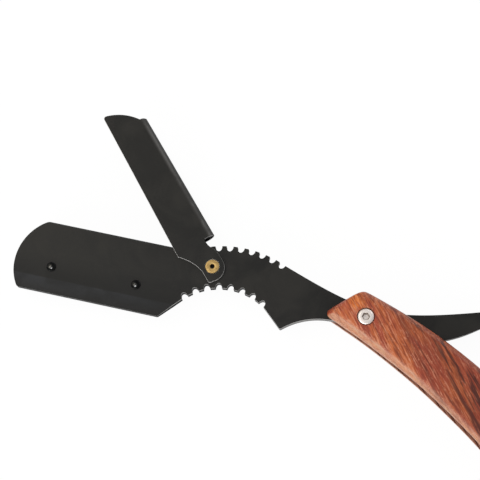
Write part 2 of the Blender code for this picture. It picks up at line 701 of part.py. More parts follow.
def scale_stations():
    """Distances along the handle where a scale has a cross-section."""
    stations = [-HANDLE_NOSE_LOWER + SCALE_END_ROUND * share for share in EDGE_DEPTH_SHARES]
    stations.append(-HANDLE_NOSE_LOWER + NOSE_UPPER_RADIUS)
    round_start = HANDLE_REACH - HANDLE_ROUND_END
    steps = max(1, round((round_start - stations[-1]) / SCALE_STATION_STEP))
    step = (round_start - stations[-1]) / steps
    stations += [stations[-1] + step * (i + 1) for i in range(steps)]
    stations += [round_start + HANDLE_ROUND_END * share for share in END_REACH_SHARES]
    return stations


def station_points(along, side):
    """One cross-section of a scale, from its lower to its upper edge: (x, y, inner level, outer level)."""
    blend_share = (along + HANDLE_NOSE_LOWER) / (HANDLE_NOSE_BLEND + HANDLE_NOSE_LOWER)
    upper_along = along
    if blend_share < 1.0:
        upper_along = -HANDLE_NOSE_UPPER + (HANDLE_NOSE_BLEND + HANDLE_NOSE_UPPER) * blend_share
    low = Vector(handle_point(along, -lower_edge(along)))
    high = Vector(handle_point(upper_along, upper_edge(upper_along)))
    width = (high - low).length
    rim = min(SCALE_EDGE_ROUND, width * RIM_SHARE)
    depths = [rim * share for share in EDGE_DEPTH_SHARES]
    shares = [depth / width for depth in depths]
    shares += [0.5]
    shares += [1.0 - depth / width for depth in reversed(depths)]
    last = HANDLE_REACH - HANDLE_ROUND_END * (1.0 - END_REACH_SHARES[-1])
    end_height = quarter_round(along + HANDLE_NOSE_LOWER, SCALE_END_ROUND)
    end_height *= quarter_round(last - along, SCALE_END_ROUND)
    rows = []
    for share in shares:
        place = low.lerp(high, share)
        bulge = HANDLE_NOSE_BULGE * (1.0 - (2.0 * share - 1.0)**2) * max(0.0, 1.0 - blend_share)
        reach = along + (upper_along - along) * share
        inner = inner_level(reach)
        rise = quarter_round(min(share, 1.0 - share) * width, rim) * end_height
        wall = inner + SCALE_EDGE_WALL
        rows.append((place.x - bulge, place.y, side * inner, side * (wall + (scale_outer - wall) * rise)))
    return rows


def build_scale(name, side, parent, wood):
    """One wooden scale, rounded all round, with its recess for the washer and its seats for the heads."""
    bm = bmesh.new()
    inner = []
    outer = []
    for along in scale_stations():
        rows = station_points(along, side)
        inner.append([bm.verts.new((x, y, low)) for x, y, low, high in rows])
        outer.append([bm.verts.new((x, y, high)) for x, y, low, high in rows])
    count = len(inner[0])
    for i in range(len(inner) - 1):
        for j in range(count - 1):
            for sheet in (inner, outer):
                bm.faces.new((sheet[i][j], sheet[i + 1][j], sheet[i + 1][j + 1], sheet[i][j + 1]))
        for j in (0, count - 1):
            bm.faces.new((inner[i][j], inner[i + 1][j], outer[i + 1][j], outer[i][j]))
    for i in (0, len(inner) - 1):
        for j in range(count - 1):
            bm.faces.new((inner[i][j], inner[i][j + 1], outer[i][j + 1], outer[i][j]))
    scale = finish_mesh(bm, name, parent, wood)

    post_hole = POST_RADIUS + SEAT_GAP
    recess = WASHER_RADIUS + SEAT_GAP
    recess_floor = plate_half + SEAT_GAP + WASHER_THICKNESS + SEAT_GAP
    below = pivot_inner - CUT_OVERRUN
    above = head_level + CUT_OVERRUN
    seat = HEAD_RADIUS + HEAD_ROOM
    end_profile = stepped_hole(post_hole, side * below, side * head_seat, seat, side * above)
    pivot_profile = [
        (0, side * below),
        (recess, side * below),
        (recess, side * recess_floor),
        (post_hole, side * recess_floor),
    ]
    pivot_profile += end_profile[2:]
    cut(scale, cutters(name + "_cuts", [((0, 0), pivot_profile), (end_screw_place(), end_profile)], parent))
    return scale


def end_screw_place():
    """Where the end screw goes through the handle."""
    return handle_point(HANDLE_REACH - END_SCREW_FROM_END, 0)


def build_screw(name, place, parent, steel):
    """A button head screw that enters the post from the front."""
    seat = head_seat + SEAT_GAP
    rim = seat + HEAD_RIM_HEIGHT
    tip = -seat + POST_WEB + SCREW_SHORT_OF_BORE
    profile = [(0, tip), (SCREW_RADIUS, tip), (SCREW_RADIUS, seat), (HEAD_RADIUS, seat), (HEAD_RADIUS, rim)]
    for i in range(1, CORNER_STEPS + 2):
        swing = math.pi / 2 * i / (CORNER_STEPS + 1)
        radius = HEAD_FLAT_RADIUS + (HEAD_RADIUS - HEAD_FLAT_RADIUS) * math.cos(swing)
        profile.append((radius, rim + (head_level - rim) * math.sin(swing)))
    profile.append((0, head_level))
    screw = turned(name, profile, place, ROUND_STEPS, parent, steel)
    socket_radius = HEX_ACROSS_FLATS / 2 / math.cos(math.pi / 6)
    socket = hole(socket_radius, head_level - HEX_DEPTH, head_level + CUT_OVERRUN)
    cut(screw, cutters(name + "_socket", [(place, socket)], parent, steps=6))
    return screw


def build_post(name, place, parent, steel):
    """A post with a flat head, entered from the back; its bore takes the screw."""
    seat = head_seat + SEAT_GAP
    top = seat - SEAT_GAP * 2
    bore = SCREW_RADIUS + SEAT_GAP
    bore_end = -seat + POST_WEB
    profile = [
        (0, -head_level),
        (HEAD_RADIUS - HEAD_EDGE_BREAK, -head_level),
        (HEAD_RADIUS, -head_level + HEAD_EDGE_BREAK),
        (HEAD_RADIUS, -seat),
        (POST_RADIUS, -seat),
        (POST_RADIUS, top),
        (bore, top),
        (bore, bore_end),
        (0, bore_end),
    ]
    return turned(name, profile, place, ROUND_STEPS, parent, steel)


def build_washer(name, side, parent, steel):
    """A washer between the holder plate and one scale."""
    low = plate_half + SEAT_GAP
    high = low + WASHER_THICKNESS
    inner = POST_RADIUS + TURNING_GAP
    outer = WASHER_RADIUS
    profile = [(inner, side * low), (outer, side * low), (outer, side * high), (inner, side * high)]
    return turned(name, profile, (0, 0), ROUND_STEPS, parent, steel)


def build_spacer(parent, fibre):
    """The block that holds the scales apart at the far end."""
    start = HANDLE_REACH - SPACER_LENGTH
    end = HANDLE_REACH - SPACER_INSET
    half = belly_inner - SEAT_GAP
    steps = ARC_STEPS
    lower = []
    upper = []
    for i in range(steps + 1):
        along = start + (end - start) * math.sin(math.pi / 2 * i / steps)
        edge = min(along + SPACER_INSET, HANDLE_REACH)
        lower.append(handle_point(along, -max(0.0, lower_edge(edge) - SPACER_INSET)))
        upper.append(handle_point(along, max(0.0, upper_edge(edge) - SPACER_INSET)))
    top = Vector(upper[0])
    bottom = Vector(lower[0])
    inwards = Vector(handle_point(start + SPACER_HOLLOW, 0)) - Vector(handle_point(start, 0))
    front = []
    for i in range(1, steps):
        share = i / steps
        front.append(tuple(top.lerp(bottom, share) + inwards * math.sin(math.pi * share)))
    outline = lower + list(reversed(upper))[1:] + front
    spacer = prism("end_spacer", outline, -half, half, parent, fibre)
    through = hole(POST_RADIUS + SEAT_GAP, -half - CUT_OVERRUN, half + CUT_OVERRUN)
    cut(spacer, cutters("spacer_hole", [(end_screw_place(), through)], parent))
    return spacer


clear_scene()
black_steel = surface("black_steel", (0.032, 0.032, 0.033), 0.55, 0.6)
pin_steel = surface("pin_steel", (0.012, 0.012, 0.013), 0.2, 0.8)
bright_steel = surface("bright_steel", (0.72, 0.73, 0.75), 0.22, 1.0)
brass = surface("brass", (0.72, 0.50, 0.24), 0.3, 1.0)
rosewood = surface("rosewood", (0.36, 0.12, 0.055), 0.45, 0.0)
fibre = surface("black_fibre", (0.03, 0.028, 0.026), 0.6, 0.0)

middle = Vector((0, 0, head_level))
handle_frame = frame_empty("handle_frame", middle, HANDLE_HEADING)
holder_frame = frame_empty("holder_frame", middle, HOLDER_HEADING)
leaf_frame = frame_empty("leaf_frame", (*rivet_place, 0), LEAF_OPEN_ANGLE, holder_frame)

build_holder(holder_frame, black_steel)
build_pin("blade_pin_heel", heel_pin_place, holder_frame, pin_steel)
build_pin("blade_pin_toe", toe_pin_place, holder_frame, pin_steel)
build_rivet(holder_frame, brass)
build_leaf(leaf_frame, black_steel)
build_scale("scale_front", 1, handle_frame, rosewood)
build_scale("scale_back", -1, handle_frame, rosewood)
build_washer("pivot_washer_front", 1, handle_frame, bright_steel)
build_washer("pivot_washer_back", -1, handle_frame, bright_steel)
build_screw("pivot_screw", (0, 0), handle_frame, bright_steel)
build_post("pivot_post", (0, 0), handle_frame, bright_steel)
build_screw("end_screw", end_screw_place(), handle_frame, bright_steel)
build_post("end_post", end_screw_place(), handle_frame, bright_steel)
build_spacer(handle_frame, fibre)
bpy.context.view_layer.update()
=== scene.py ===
import json
import math

import bmesh
import bpy
from mathutils import Matrix, Vector


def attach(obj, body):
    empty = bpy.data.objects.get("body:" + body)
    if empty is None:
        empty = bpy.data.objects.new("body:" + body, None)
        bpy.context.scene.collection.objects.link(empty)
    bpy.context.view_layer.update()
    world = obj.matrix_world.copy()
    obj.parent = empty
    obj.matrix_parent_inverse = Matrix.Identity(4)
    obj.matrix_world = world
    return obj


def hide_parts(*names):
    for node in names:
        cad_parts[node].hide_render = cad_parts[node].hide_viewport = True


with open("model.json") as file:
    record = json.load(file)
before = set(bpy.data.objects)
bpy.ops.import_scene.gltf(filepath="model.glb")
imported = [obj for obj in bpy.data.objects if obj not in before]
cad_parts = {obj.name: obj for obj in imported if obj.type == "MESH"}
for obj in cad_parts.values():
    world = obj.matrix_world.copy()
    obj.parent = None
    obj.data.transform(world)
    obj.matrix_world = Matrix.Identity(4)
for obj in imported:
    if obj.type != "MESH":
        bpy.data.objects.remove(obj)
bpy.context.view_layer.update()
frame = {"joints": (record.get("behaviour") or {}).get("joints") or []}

# Blade holder
# One flat plate of 3 mm steel with a paddle for the blade, a shank with finger grooves and a thin tail.
# It is cut to shape, its edges are broken, and all of it is coated matt black.
HOLDER_HEADING = -12.0  # its own +X, from the toe towards the pivot, in degrees about +Z
PLATE_THICKNESS = 0.0030
SPINE_HEIGHT = 0.0118  # above the line through the pivot
PADDLE_HEIGHT = 0.0265
PADDLE_LENGTH = 0.0573
HEEL_REACH = 0.0742  # from the pivot
HEEL_RADIUS = 0.0010
TOE_DROP = 0.0041
TOE_SETBACK = 0.00895
TOE_CORNER_RADIUS = 0.0014
TOE_CORNER_RUN = 0.0024
SPINE_BREAK = 0.0005
SPINE_BREAK_END = -0.0693
EDGE_BEVEL_WIDTH = 0.0055
EDGE_BEVEL_DEPTH = 0.0005
# rows of grooves along an arc through the teeth's tips, the first one in degrees clockwise from +Y
TOP_GRIP = dict(centre=(-0.0486, -0.0232), radius=0.0400, first_turn=-25.7,
                pitch=0.00415, count=9, mouth_share=0.62, depth=0.0019)
BOTTOM_GRIP = dict(centre=(-0.0500, -0.0223), radius=0.02305, first_turn=-43.7,
                   pitch=0.00431, count=8, mouth_share=0.57, depth=0.0018)
GRIP_STEPS = 60
GROOVE_STEPS = 40
TOOTH_BREAK = 0.0005
TOOTH_CORNER_ANGLE = 45.0  # edges that turn by more are a tooth's corners
SPUR_HEADING = -42.0
SPUR_RADIUS = 0.0006
ARCH_CENTRE = (-0.0115, -0.0288)
ARCH_RADIUS = 0.0260
ARCH_END_TURN = 16.0
BOSS_DEPTH = 0.0054
BOSS_PULL = 0.0020
SHANK_HEADING = -19.5
SHANK_PULL = 0.034
TAIL_REACH = 0.0493
TAIL_RISE = 0.0145
TAIL_TIP_WIDTH = 0.0021
TAIL_TOP_START = (0.0394, 0.0114)
TAIL_TOP_HEADING = 17.5
TAIL_TOP_PULL = 0.0345
TAIL_UNDER_HEADING = 38.0
TAIL_UNDER_PULL = 0.019
TAIL_UNDER_ROOT_PULL = 0.027
TAIL_TAPER_START = 0.012
TAIL_TIP_THICKNESS = 0.0011
RIM_BREAK = 0.00017  # rounding of every sharp edge of the plate
TURNING_GAP = 0.00008  # around a shaft that something turns on
SEAT_GAP = 0.0001  # between fixed faces that bear on each other
CUT_OVERRUN = 0.001
POST_RADIUS = 0.0020
RIVET_SHANK_RADIUS = 0.0016
PIN_SHANK_RADIUS = 0.0012
PIN_SPACING = 0.0325
PIN_OFFSET = 0.0019
BLADE_WIDTH = 0.022
BLADE_EXPOSURE = 0.0013
COATING = (0.0062, 0.0060, 0.0056, 1.0)
COATING_THIN = (0.0128, 0.0120, 0.0106, 1.0)
# darker coating next to the ground band, and painted shade low down on the walls
COATING_DARK_AND_SHADE = (0.003, 0.003, 0.003, 1.0)
COATING_ON_GROUND = (0.0105, 0.0112, 0.0130, 1.0)  # bluer, over the ground band of the cutting side
BARE_STEEL = (0.62, 0.61, 0.60, 1.0)
COAT_GLOSS = 0.20  # specular level of the coating
WALL_WEAR_AND_SHEEN = 0.32  # share of bare steel at the top of the near walls: partly wear, partly painted highlight
WALL_SHADE_LEVELS = (0.0074, 0.0080)  # up to these levels the walls get painted shade, darker low down
HANDLED_FROM = -0.0480  # along the plate, where the fingers' wear sets in and the painted wall shade lessens
HANDLED_RAMP = 0.014  # over this length
HANDLED_SHADE_SHARE = 0.55  # share of the painted wall shade that it leaves
DULL = (-0.0690, 0.75)  # up to here, and by this share, the coating above the ground band is darker
DULL_REACH = 0.010  # over this height
DULL_RAMP = 0.003  # and it ends over this length
NEAR_START = -0.12  # +Y part of the normal where a wall starts to face the near side
NEAR_FULL = -0.5  # and where it fully does
WALL_START = 0.6  # a normal that rises less than this starts to be a wall's
WALL_FULL = 0.3
SCRATCH_SLENDERNESS = 24.0

joint_places = {joint["name"]: Vector(joint["pos_m"]) for joint in frame["joints"]}
pivot = joint_places["holder_fold"]
rivet = joint_places["leaf_swing"]


def turned_space(origin, heading):
    """A frame at an origin, turned about +Z by some degrees."""
    return Matrix.Translation(origin) @ Matrix.Rotation(math.radians(heading), 4, "Z")


holder_space = turned_space(pivot, HOLDER_HEADING)
rivet_place = (holder_space.inverted() @ rivet).to_2d()
plate_half = PLATE_THICKNESS / 2
paddle_edge = SPINE_HEIGHT - PADDLE_HEIGHT
toe_rise = SPINE_HEIGHT + TOE_DROP
toe_radius = (toe_rise**2 + TOE_SETBACK**2) / (2 * TOE_SETBACK)
toe_reach = HEEL_REACH + PADDLE_LENGTH
toe_centre = (toe_radius - toe_reach, -TOE_DROP)
pin_line = paddle_edge + BLADE_WIDTH / 2 - BLADE_EXPOSURE
pin_middle = HEEL_REACH + PADDLE_LENGTH / 2 - PIN_OFFSET
pin_places = [(PIN_SPACING * side / 2 - pin_middle, pin_line) for side in (1, -1)]


def polar(centre, radius, turn):
    """A point at a turn counted in degrees, counter-clockwise from +X."""
    angle = math.radians(turn)
    return (centre[0] + radius * math.cos(angle), centre[1] + radius * math.sin(angle))


def arc(centre, radius, start, end, steps):
    """Points along an arc, both ends included."""
    return [polar(centre, radius, start + (end - start) * i / steps) for i in range(steps + 1)]


def circle(centre, radius, steps=64):
    """Points round a circle."""
    return arc(centre, radius, 0.0, 360.0, steps)[:-1]


def curve(start, start_heading, start_pull, end, end_heading, end_pull, steps=48):
    """Points along a cubic curve that leaves and arrives along given headings."""
    a, d = Vector(start), Vector(end)
    b = Vector(polar(start, start_pull, start_heading))
    c = Vector(polar(end, end_pull, end_heading + 180.0))
    points = []
    for i in range(steps + 1):
        t = i / steps
        u = 1.0 - t
        points.append(tuple(a * u**3 + b * (3 * u * u * t) + c * (3 * u * t * t) + d * t**3))
    return points


def rounded(before, corner, after, radius, steps=6):
    """The corner between two straight runs as an arc tangent to both."""
    corner = Vector(corner)
    back = (Vector(before) - corner).normalized()
    ahead = (Vector(after) - corner).normalized()
    half = back.angle(ahead) / 2
    centre = corner + (back + ahead).normalized() * (radius / math.sin(half))
    first = corner + back * (radius / math.tan(half)) - centre
    last = corner + ahead * (radius / math.tan(half)) - centre
    sweep = -first.angle_signed(last)
    return [tuple(centre + Matrix.Rotation(sweep * i / steps, 2) @ first) for i in range(steps + 1)]


def toe_turn(height):
    """Where the toe's arc stands at a height above its centre, in degrees from +X."""
    return 180.0 - math.degrees(math.asin(height / toe_radius))


def grip_arc(grip):
    """The arc along the tips of a row of teeth, from the first to the last groove's corner."""
    pitch_turn = math.degrees(grip["pitch"] / grip["radius"])
    corner_turn = pitch_turn * grip["mouth_share"] / 2 + math.degrees(TOOTH_BREAK / grip["radius"])
    first = 90.0 - grip["first_turn"]
    last = first - (grip["count"] - 1) * pitch_turn
    return arc(grip["centre"], grip["radius"], first + corner_turn, last - corner_turn, GRIP_STEPS)


def holder_outline():
    """The plate from toe to tail, counter-clockwise, still without its grooves."""
    corner_turn = math.degrees(TOE_CORNER_RUN / toe_radius)
    low_turn = toe_turn(paddle_edge + TOE_DROP)
    high_turn = toe_turn(toe_rise)
    low_corner, toe_low, toe_high, high_corner = (
        polar(toe_centre, toe_radius, turn)
        for turn in (low_turn, low_turn - corner_turn, high_turn + corner_turn, high_turn))
    heel = (-HEEL_REACH, paddle_edge)
    top_grip = grip_arc(TOP_GRIP)
    bottom_grip = grip_arc(BOTTOM_GRIP)
    bottom_first = polar(BOTTOM_GRIP["centre"], BOTTOM_GRIP["radius"], 90.0 - BOTTOM_GRIP["first_turn"])
    spur_root = Vector(bottom_grip[-1])
    spur_way = Vector(polar((0, 0), 1.0, SPUR_HEADING))
    reach = spur_root - Vector(ARCH_CENTRE)
    along = -reach.dot(spur_way)
    miss = (reach + spur_way * along).length
    spur = spur_root + spur_way * (along - math.sqrt(ARCH_RADIUS**2 - miss**2))
    spur_turn = math.degrees(math.atan2(spur.y - ARCH_CENTRE[1], spur.x - ARCH_CENTRE[0]))
    arch = arc(ARCH_CENTRE, ARCH_RADIUS, spur_turn, 90.0 - ARCH_END_TURN, 40)
    boss = (BOSS_PULL, -BOSS_DEPTH)
    tip_low = (TAIL_REACH, TAIL_RISE - TAIL_TIP_WIDTH)
    tip_middle = (TAIL_REACH, TAIL_RISE - TAIL_TIP_WIDTH / 2)
    grip_start = math.degrees(math.acos((SPINE_HEIGHT - TOP_GRIP["centre"][1]) / TOP_GRIP["radius"]))
    spine_end = polar(TOP_GRIP["centre"], TOP_GRIP["radius"], 90.0 + grip_start)

    return [
        *rounded(toe_low, low_corner, heel, TOE_CORNER_RADIUS),
        *rounded(low_corner, heel, bottom_first, HEEL_RADIUS),
        *bottom_grip,
        *rounded(spur_root, spur, arch[1], SPUR_RADIUS),
        *arch[1:],
        *curve(arch[-1], -ARCH_END_TURN, BOSS_PULL, boss, 0.0, BOSS_PULL, 10)[1:],
        *curve(boss, 0.0, TAIL_UNDER_ROOT_PULL, tip_low, TAIL_UNDER_HEADING, TAIL_UNDER_PULL)[1:],
        *arc(tip_middle, TAIL_TIP_WIDTH / 2, -90.0, 90.0, 16)[1:],
        *curve(TAIL_TOP_START, TAIL_TOP_HEADING + 180.0, TAIL_TOP_PULL,
               top_grip[-1], SHANK_HEADING + 180.0, SHANK_PULL),
        *top_grip[-2::-1],
        spine_end,
        *rounded(spine_end, high_corner, toe_high, TOE_CORNER_RADIUS),
        *arc(toe_centre, toe_radius, high_turn + corner_turn, low_turn - corner_turn, 48),
    ]


def new_object(name, data, *materials):
    """An object of the scene from its data, with its materials."""
    piece = bpy.data.objects.new(name, data)
    bpy.context.scene.collection.objects.link(piece)
    for material in materials:
        data.materials.append(material)
    return piece


def solid(name, bm, *materials):
    """A bmesh as an object with its faces pointing out."""
    bmesh.ops.recalc_face_normals(bm, faces=bm.faces)
    mesh = bpy.data.meshes.new(name)
    bm.to_mesh(mesh)
    bm.free()
    return new_object(name, mesh, *materials)


def loft(name, sections, *materials):
    """A solid through two or more like outlines, closed at both ends."""
    bm = bmesh.new()
    rings = [[bm.verts.new(point) for point in section] for section in sections]
    bm.faces.new(rings[0])
    bm.faces.new(rings[-1][::-1])
    for ring, after in zip(rings, rings[1:]):
        for i in range(len(ring)):
            j = (i + 1) % len(ring)
            bm.faces.new((ring[j], ring[i], after[i], after[j]))
    return solid(name, bm, *materials)


def prism(name, outline, low, high, *materials):
    """A flat outline raised from one level to another."""
    return loft(name, [[(x, y, level) for x, y in outline] for level in (low, high)], *materials)


def cut(piece, cutter):
    """Take a cutter's volume out of a piece."""
    boolean = piece.modifiers.new(cutter.name, "BOOLEAN")
    boolean.operation = "DIFFERENCE"
    boolean.solver = "EXACT"
    boolean.object = cutter


def drill(piece, place, radius, low, high):
    """Take a round hole out of a piece."""
    cut(piece, prism(piece.name + "_hole", circle(place, radius), low, high))


def break_edges(piece, width, angle=30.0):
    """Round a piece's sharp edges; the rounded strips take its second material where it has one."""
    bevel = piece.modifiers.new("broken_edges", "BEVEL")
    bevel.width = width
    bevel.segments = 2
    bevel.limit_method = "ANGLE"
    bevel.angle_limit = math.radians(angle)
    bevel.miter_outer = "MITER_ARC"
    bevel.material = len(piece.data.materials) - 1 or -1


def harden(piece):
    """Turn a piece's live modifiers into its own plain mesh and drop the objects that they used."""
    graph = bpy.context.evaluated_depsgraph_get()
    mesh = bpy.data.meshes.new_from_object(piece.evaluated_get(graph), depsgraph=graph)
    used = [m.object for m in piece.modifiers if m.type == "BOOLEAN"]
    used += [value for m in piece.modifiers if m.type == "NODES"
             for value in m.values() if isinstance(value, bpy.types.Object)]
    piece.modifiers.clear()
    piece.data = mesh
    mesh.name = piece.name
    for helper in used:
        bpy.data.objects.remove(helper, do_unlink=True)


def settle(piece, space, sharp_angle=40.0):
    """Leave one plain mesh, smooth but for its sharp edges, in place in the razor's own space."""
    harden(piece)
    piece.data.transform(space)
    piece.data.shade_smooth()
    piece.data.set_sharp_from_angle(angle=math.radians(sharp_angle))
    piece.modifiers.new("even_shading", "WEIGHTED_NORMAL").keep_sharp = True
    harden(piece)


def feed(socket, value):
    """Link an input to a socket or to a node's first output, or set it where the value is plain."""
    if isinstance(value, bpy.types.Node):
        value = value.outputs[0]
    if isinstance(value, bpy.types.NodeSocket):
        socket.id_data.links.new(value, socket)
    else:
        socket.default_value = value


def add_node(tree, kind, inputs=(), **settings):
    """A node with its settings and its inputs, given in order or by name."""
    node = tree.nodes.new(kind)
    for name, value in settings.items():
        setattr(node, name, value)
    for key, value in inputs.items() if isinstance(inputs, dict) else enumerate(inputs):
        feed(node.inputs[key], value)
    return node


def tree_of(values):
    """The node tree that the sockets among some values are in."""
    return next(value.id_data for value in values if isinstance(value, bpy.types.NodeSocket))


def reckon(operation, *values):
    """One sum of sockets and numbers."""
    return add_node(tree_of(values), "ShaderNodeMath", values, operation=operation).outputs[0]


def times(first, *others):
    """The product of sockets and numbers."""
    for other in others:
        first = reckon("MULTIPLY", first, other)
    return first


def vector_sum(operation, *values):
    """One sum of vectors, of which the first is a socket or a node."""
    return add_node(values[0].id_data, "ShaderNodeVectorMath", values, operation=operation).outputs[0]


def joined(*parts):
    """A vector from its parts."""
    return add_node(tree_of(parts), "ShaderNodeCombineXYZ", parts).outputs[0]


def parted(vector):
    """The three parts of a vector."""
    return add_node(vector.id_data, "ShaderNodeSeparateXYZ", [vector]).outputs[:3]


def new_tree(name, kind, inputs, outputs):
    """A node tree with sockets named by their type, a geometry first, and the sockets at its two ends."""
    tree = bpy.data.node_groups.new(name, kind)
    for way, sockets in (("INPUT", inputs), ("OUTPUT", outputs)):
        for socket_type, labels in sockets.items():
            for label in labels:
                tree.interface.new_socket(label, in_out=way, socket_type="NodeSocket" + socket_type)
    return tree, tree.nodes.new("NodeGroupInput").outputs, tree.nodes.new("NodeGroupOutput").inputs


def groove_tree():
    """Cuts a row of round-bottomed grooves along an arc and marks the corners of the teeth between them."""
    tree, given, result = new_tree("finger_grooves", "GeometryNodeTree", {
        "Geometry": ["Plate"], "Vector": ["Arc Centre"], "Int": ["Count", "Steps"],
        "Float": ["Arc Radius", "First Turn", "Pitch Turn", "Half Mouth", "Depth", "Height"],
        "Material": ["Material"]}, {"Geometry": ["Plate"]})
    index = tree.nodes.new("GeometryNodeInputIndex").outputs[0]
    turn = reckon("SUBTRACT", given["First Turn"], times(index, given["Pitch Turn"]))
    spoke = joined(*(times(reckon(part, turn), given["Arc Radius"]) for part in ("COSINE", "SINE")))
    points = add_node(tree, "GeometryNodePoints", {
        "Count": given["Count"], "Position": vector_sum("ADD", given["Arc Centre"], spoke)})
    drum = add_node(tree, "GeometryNodeMeshCylinder", {
        "Vertices": given["Steps"], "Depth": given["Height"], "Radius": 1.0})
    row = add_node(tree, "GeometryNodeInstanceOnPoints", {
        "Points": points, "Instance": drum, "Rotation": joined(0.0, 0.0, turn),
        "Scale": joined(given["Depth"], given["Half Mouth"], 1.0)})
    real = add_node(tree, "GeometryNodeRealizeInstances", [row])
    grooved = add_node(tree, "GeometryNodeMeshBoolean", operation="DIFFERENCE", solver="EXACT")
    feed(grooved.inputs["Mesh 1"], given["Plate"])
    feed(grooved.inputs["Mesh 2"], real)

    ends = tree.nodes.new("GeometryNodeInputMeshEdgeVertices").outputs
    rise = reckon("SUBTRACT", *(parted(ends[end])[2] for end in ("Position 1", "Position 2")))
    is_upright = reckon("GREATER_THAN", reckon("ABSOLUTE", rise), plate_half)
    fold = tree.nodes.new("GeometryNodeInputMeshEdgeAngle").outputs["Unsigned Angle"]
    is_corner = reckon("GREATER_THAN", fold, math.radians(TOOTH_CORNER_ANGLE))
    marked = add_node(tree, "GeometryNodeStoreNamedAttribute", {
        "Geometry": grooved, "Name": "bevel_weight_edge", "Value": times(is_upright, is_corner),
    }, data_type="FLOAT", domain="EDGE")
    feed(result[0], add_node(tree, "GeometryNodeSetMaterial", {
        "Geometry": marked, "Material": given["Material"]}))
    return tree


def run_tree(piece, tree, values):
    """Put a node tree on a piece and set its inputs by their sockets' identifiers."""
    modifier = piece.modifiers.new(tree.name, "NODES")
    modifier.node_group = tree
    for item in tree.interface.items_tree:
        if item.in_out == "INPUT" and item.name in values:
            modifier[item.identifier] = values[item.name]


def shader_tree(name):
    """A material with its node tree and Principled shader."""
    material = bpy.data.materials.new(name)
    material.use_nodes = True
    return material, material.node_tree, material.node_tree.nodes["Principled BSDF"]


def coordinate(tree, kind):
    """One kind of texture coordinates."""
    return tree.nodes.new("ShaderNodeTexCoord").outputs[kind]


def surface_point(tree, turn=0.0, stretch=(1.0, 1.0, 1.0), centre=(0.0, 0.0, 0.0)):
    """Object coordinates seen from a centre, turned about +Z and stretched."""
    return add_node(tree, "ShaderNodeMapping", {
        "Vector": coordinate(tree, "Object"), "Location": centre,
        "Rotation": (0.0, 0.0, math.radians(turn)), "Scale": stretch,
    }, vector_type="TEXTURE").outputs[0]


def noise(vector, detail=2.0, roughness=0.5, distortion=0.0, scale=1.0):
    """A noise value over a surface."""
    return add_node(vector.id_data, "ShaderNodeTexNoise", {
        "Vector": vector, "Scale": scale, "Detail": detail, "Roughness": roughness,
        "Distortion": distortion}).outputs["Fac"]


def ranged(value, low, high, out_low=0.0, out_high=1.0):
    """A value brought from one range to another, and held within it."""
    return add_node(value.id_data, "ShaderNodeMapRange", (value, low, high, out_low, out_high),
                    interpolation_type="SMOOTHSTEP").outputs[0]


def between(share, low, high):
    """A share brought to the range between two numbers."""
    return ranged(share, 0.0, 1.0, low, high)


def mixed(share, first, second, blend="MIX"):
    """Two colours mixed by a share."""
    return add_node(share.id_data, "ShaderNodeMix", {0: share, 6: first, 7: second},
                    data_type="RGBA", blend_type=blend).outputs[2]


def layered(colour, *layers):
    """A colour with others laid over it, each by its share."""
    for share, over in layers:
        colour = mixed(share, colour, over)
    return colour


def dress(shader, relief=None, strength=0.0, distance=0.0, **values):
    """Feed a shader's inputs, named with underscores for spaces, and give it a fine relief."""
    for name, value in values.items():
        feed(shader.inputs[name.replace("_", " ")], value)
    if relief:
        feed(shader.inputs["Normal"], add_node(shader.id_data, "ShaderNodeBump", {
            "Strength": strength, "Distance": distance, "Height": relief}))


def handling_group():
    """Marks of use and of making: soft smudges, thin scratches and the fine tooth of a surface."""
    tree, given, result = new_tree("handling_marks", "ShaderNodeTree", {
        "Vector": ["Point"], "Float": ["Smudge Size", "Scratch Length", "Tooth Size"],
    }, {"Float": ["Smudge", "Scratch", "Tooth"]})

    def spread(size):
        """The point divided by a size."""
        return add_node(tree, "ShaderNodeVectorMath", {
            0: given["Point"], "Scale": reckon("DIVIDE", 1.0, given[size])}, operation="SCALE")

    thin_and_long = vector_sum("MULTIPLY", spread("Scratch Length"), (SCRATCH_SLENDERNESS, 1.0, 1.0))
    feed(result["Smudge"], ranged(noise(spread("Smudge Size"), 4.0, 0.6, 0.8), 0.35, 0.68))
    feed(result["Scratch"], ranged(noise(thin_and_long, 3.0, 0.7, 0.3), 0.70, 0.78))
    feed(result["Tooth"], noise(spread("Tooth Size"), 3.0, 0.65))
    return tree


handling_marks = handling_group()


def marks_on(point, smudge, scratch, tooth):
    """The three handling marks at a point, in given sizes."""
    return add_node(point.id_data, "ShaderNodeGroup", (point, smudge, scratch, tooth),
                    node_tree=handling_marks).outputs[:3]


def near_side(tree, start, full):
    """How far a surface faces the razor's near side, from none to fully."""
    return ranged(parted(coordinate(tree, "Normal"))[1], start, full)


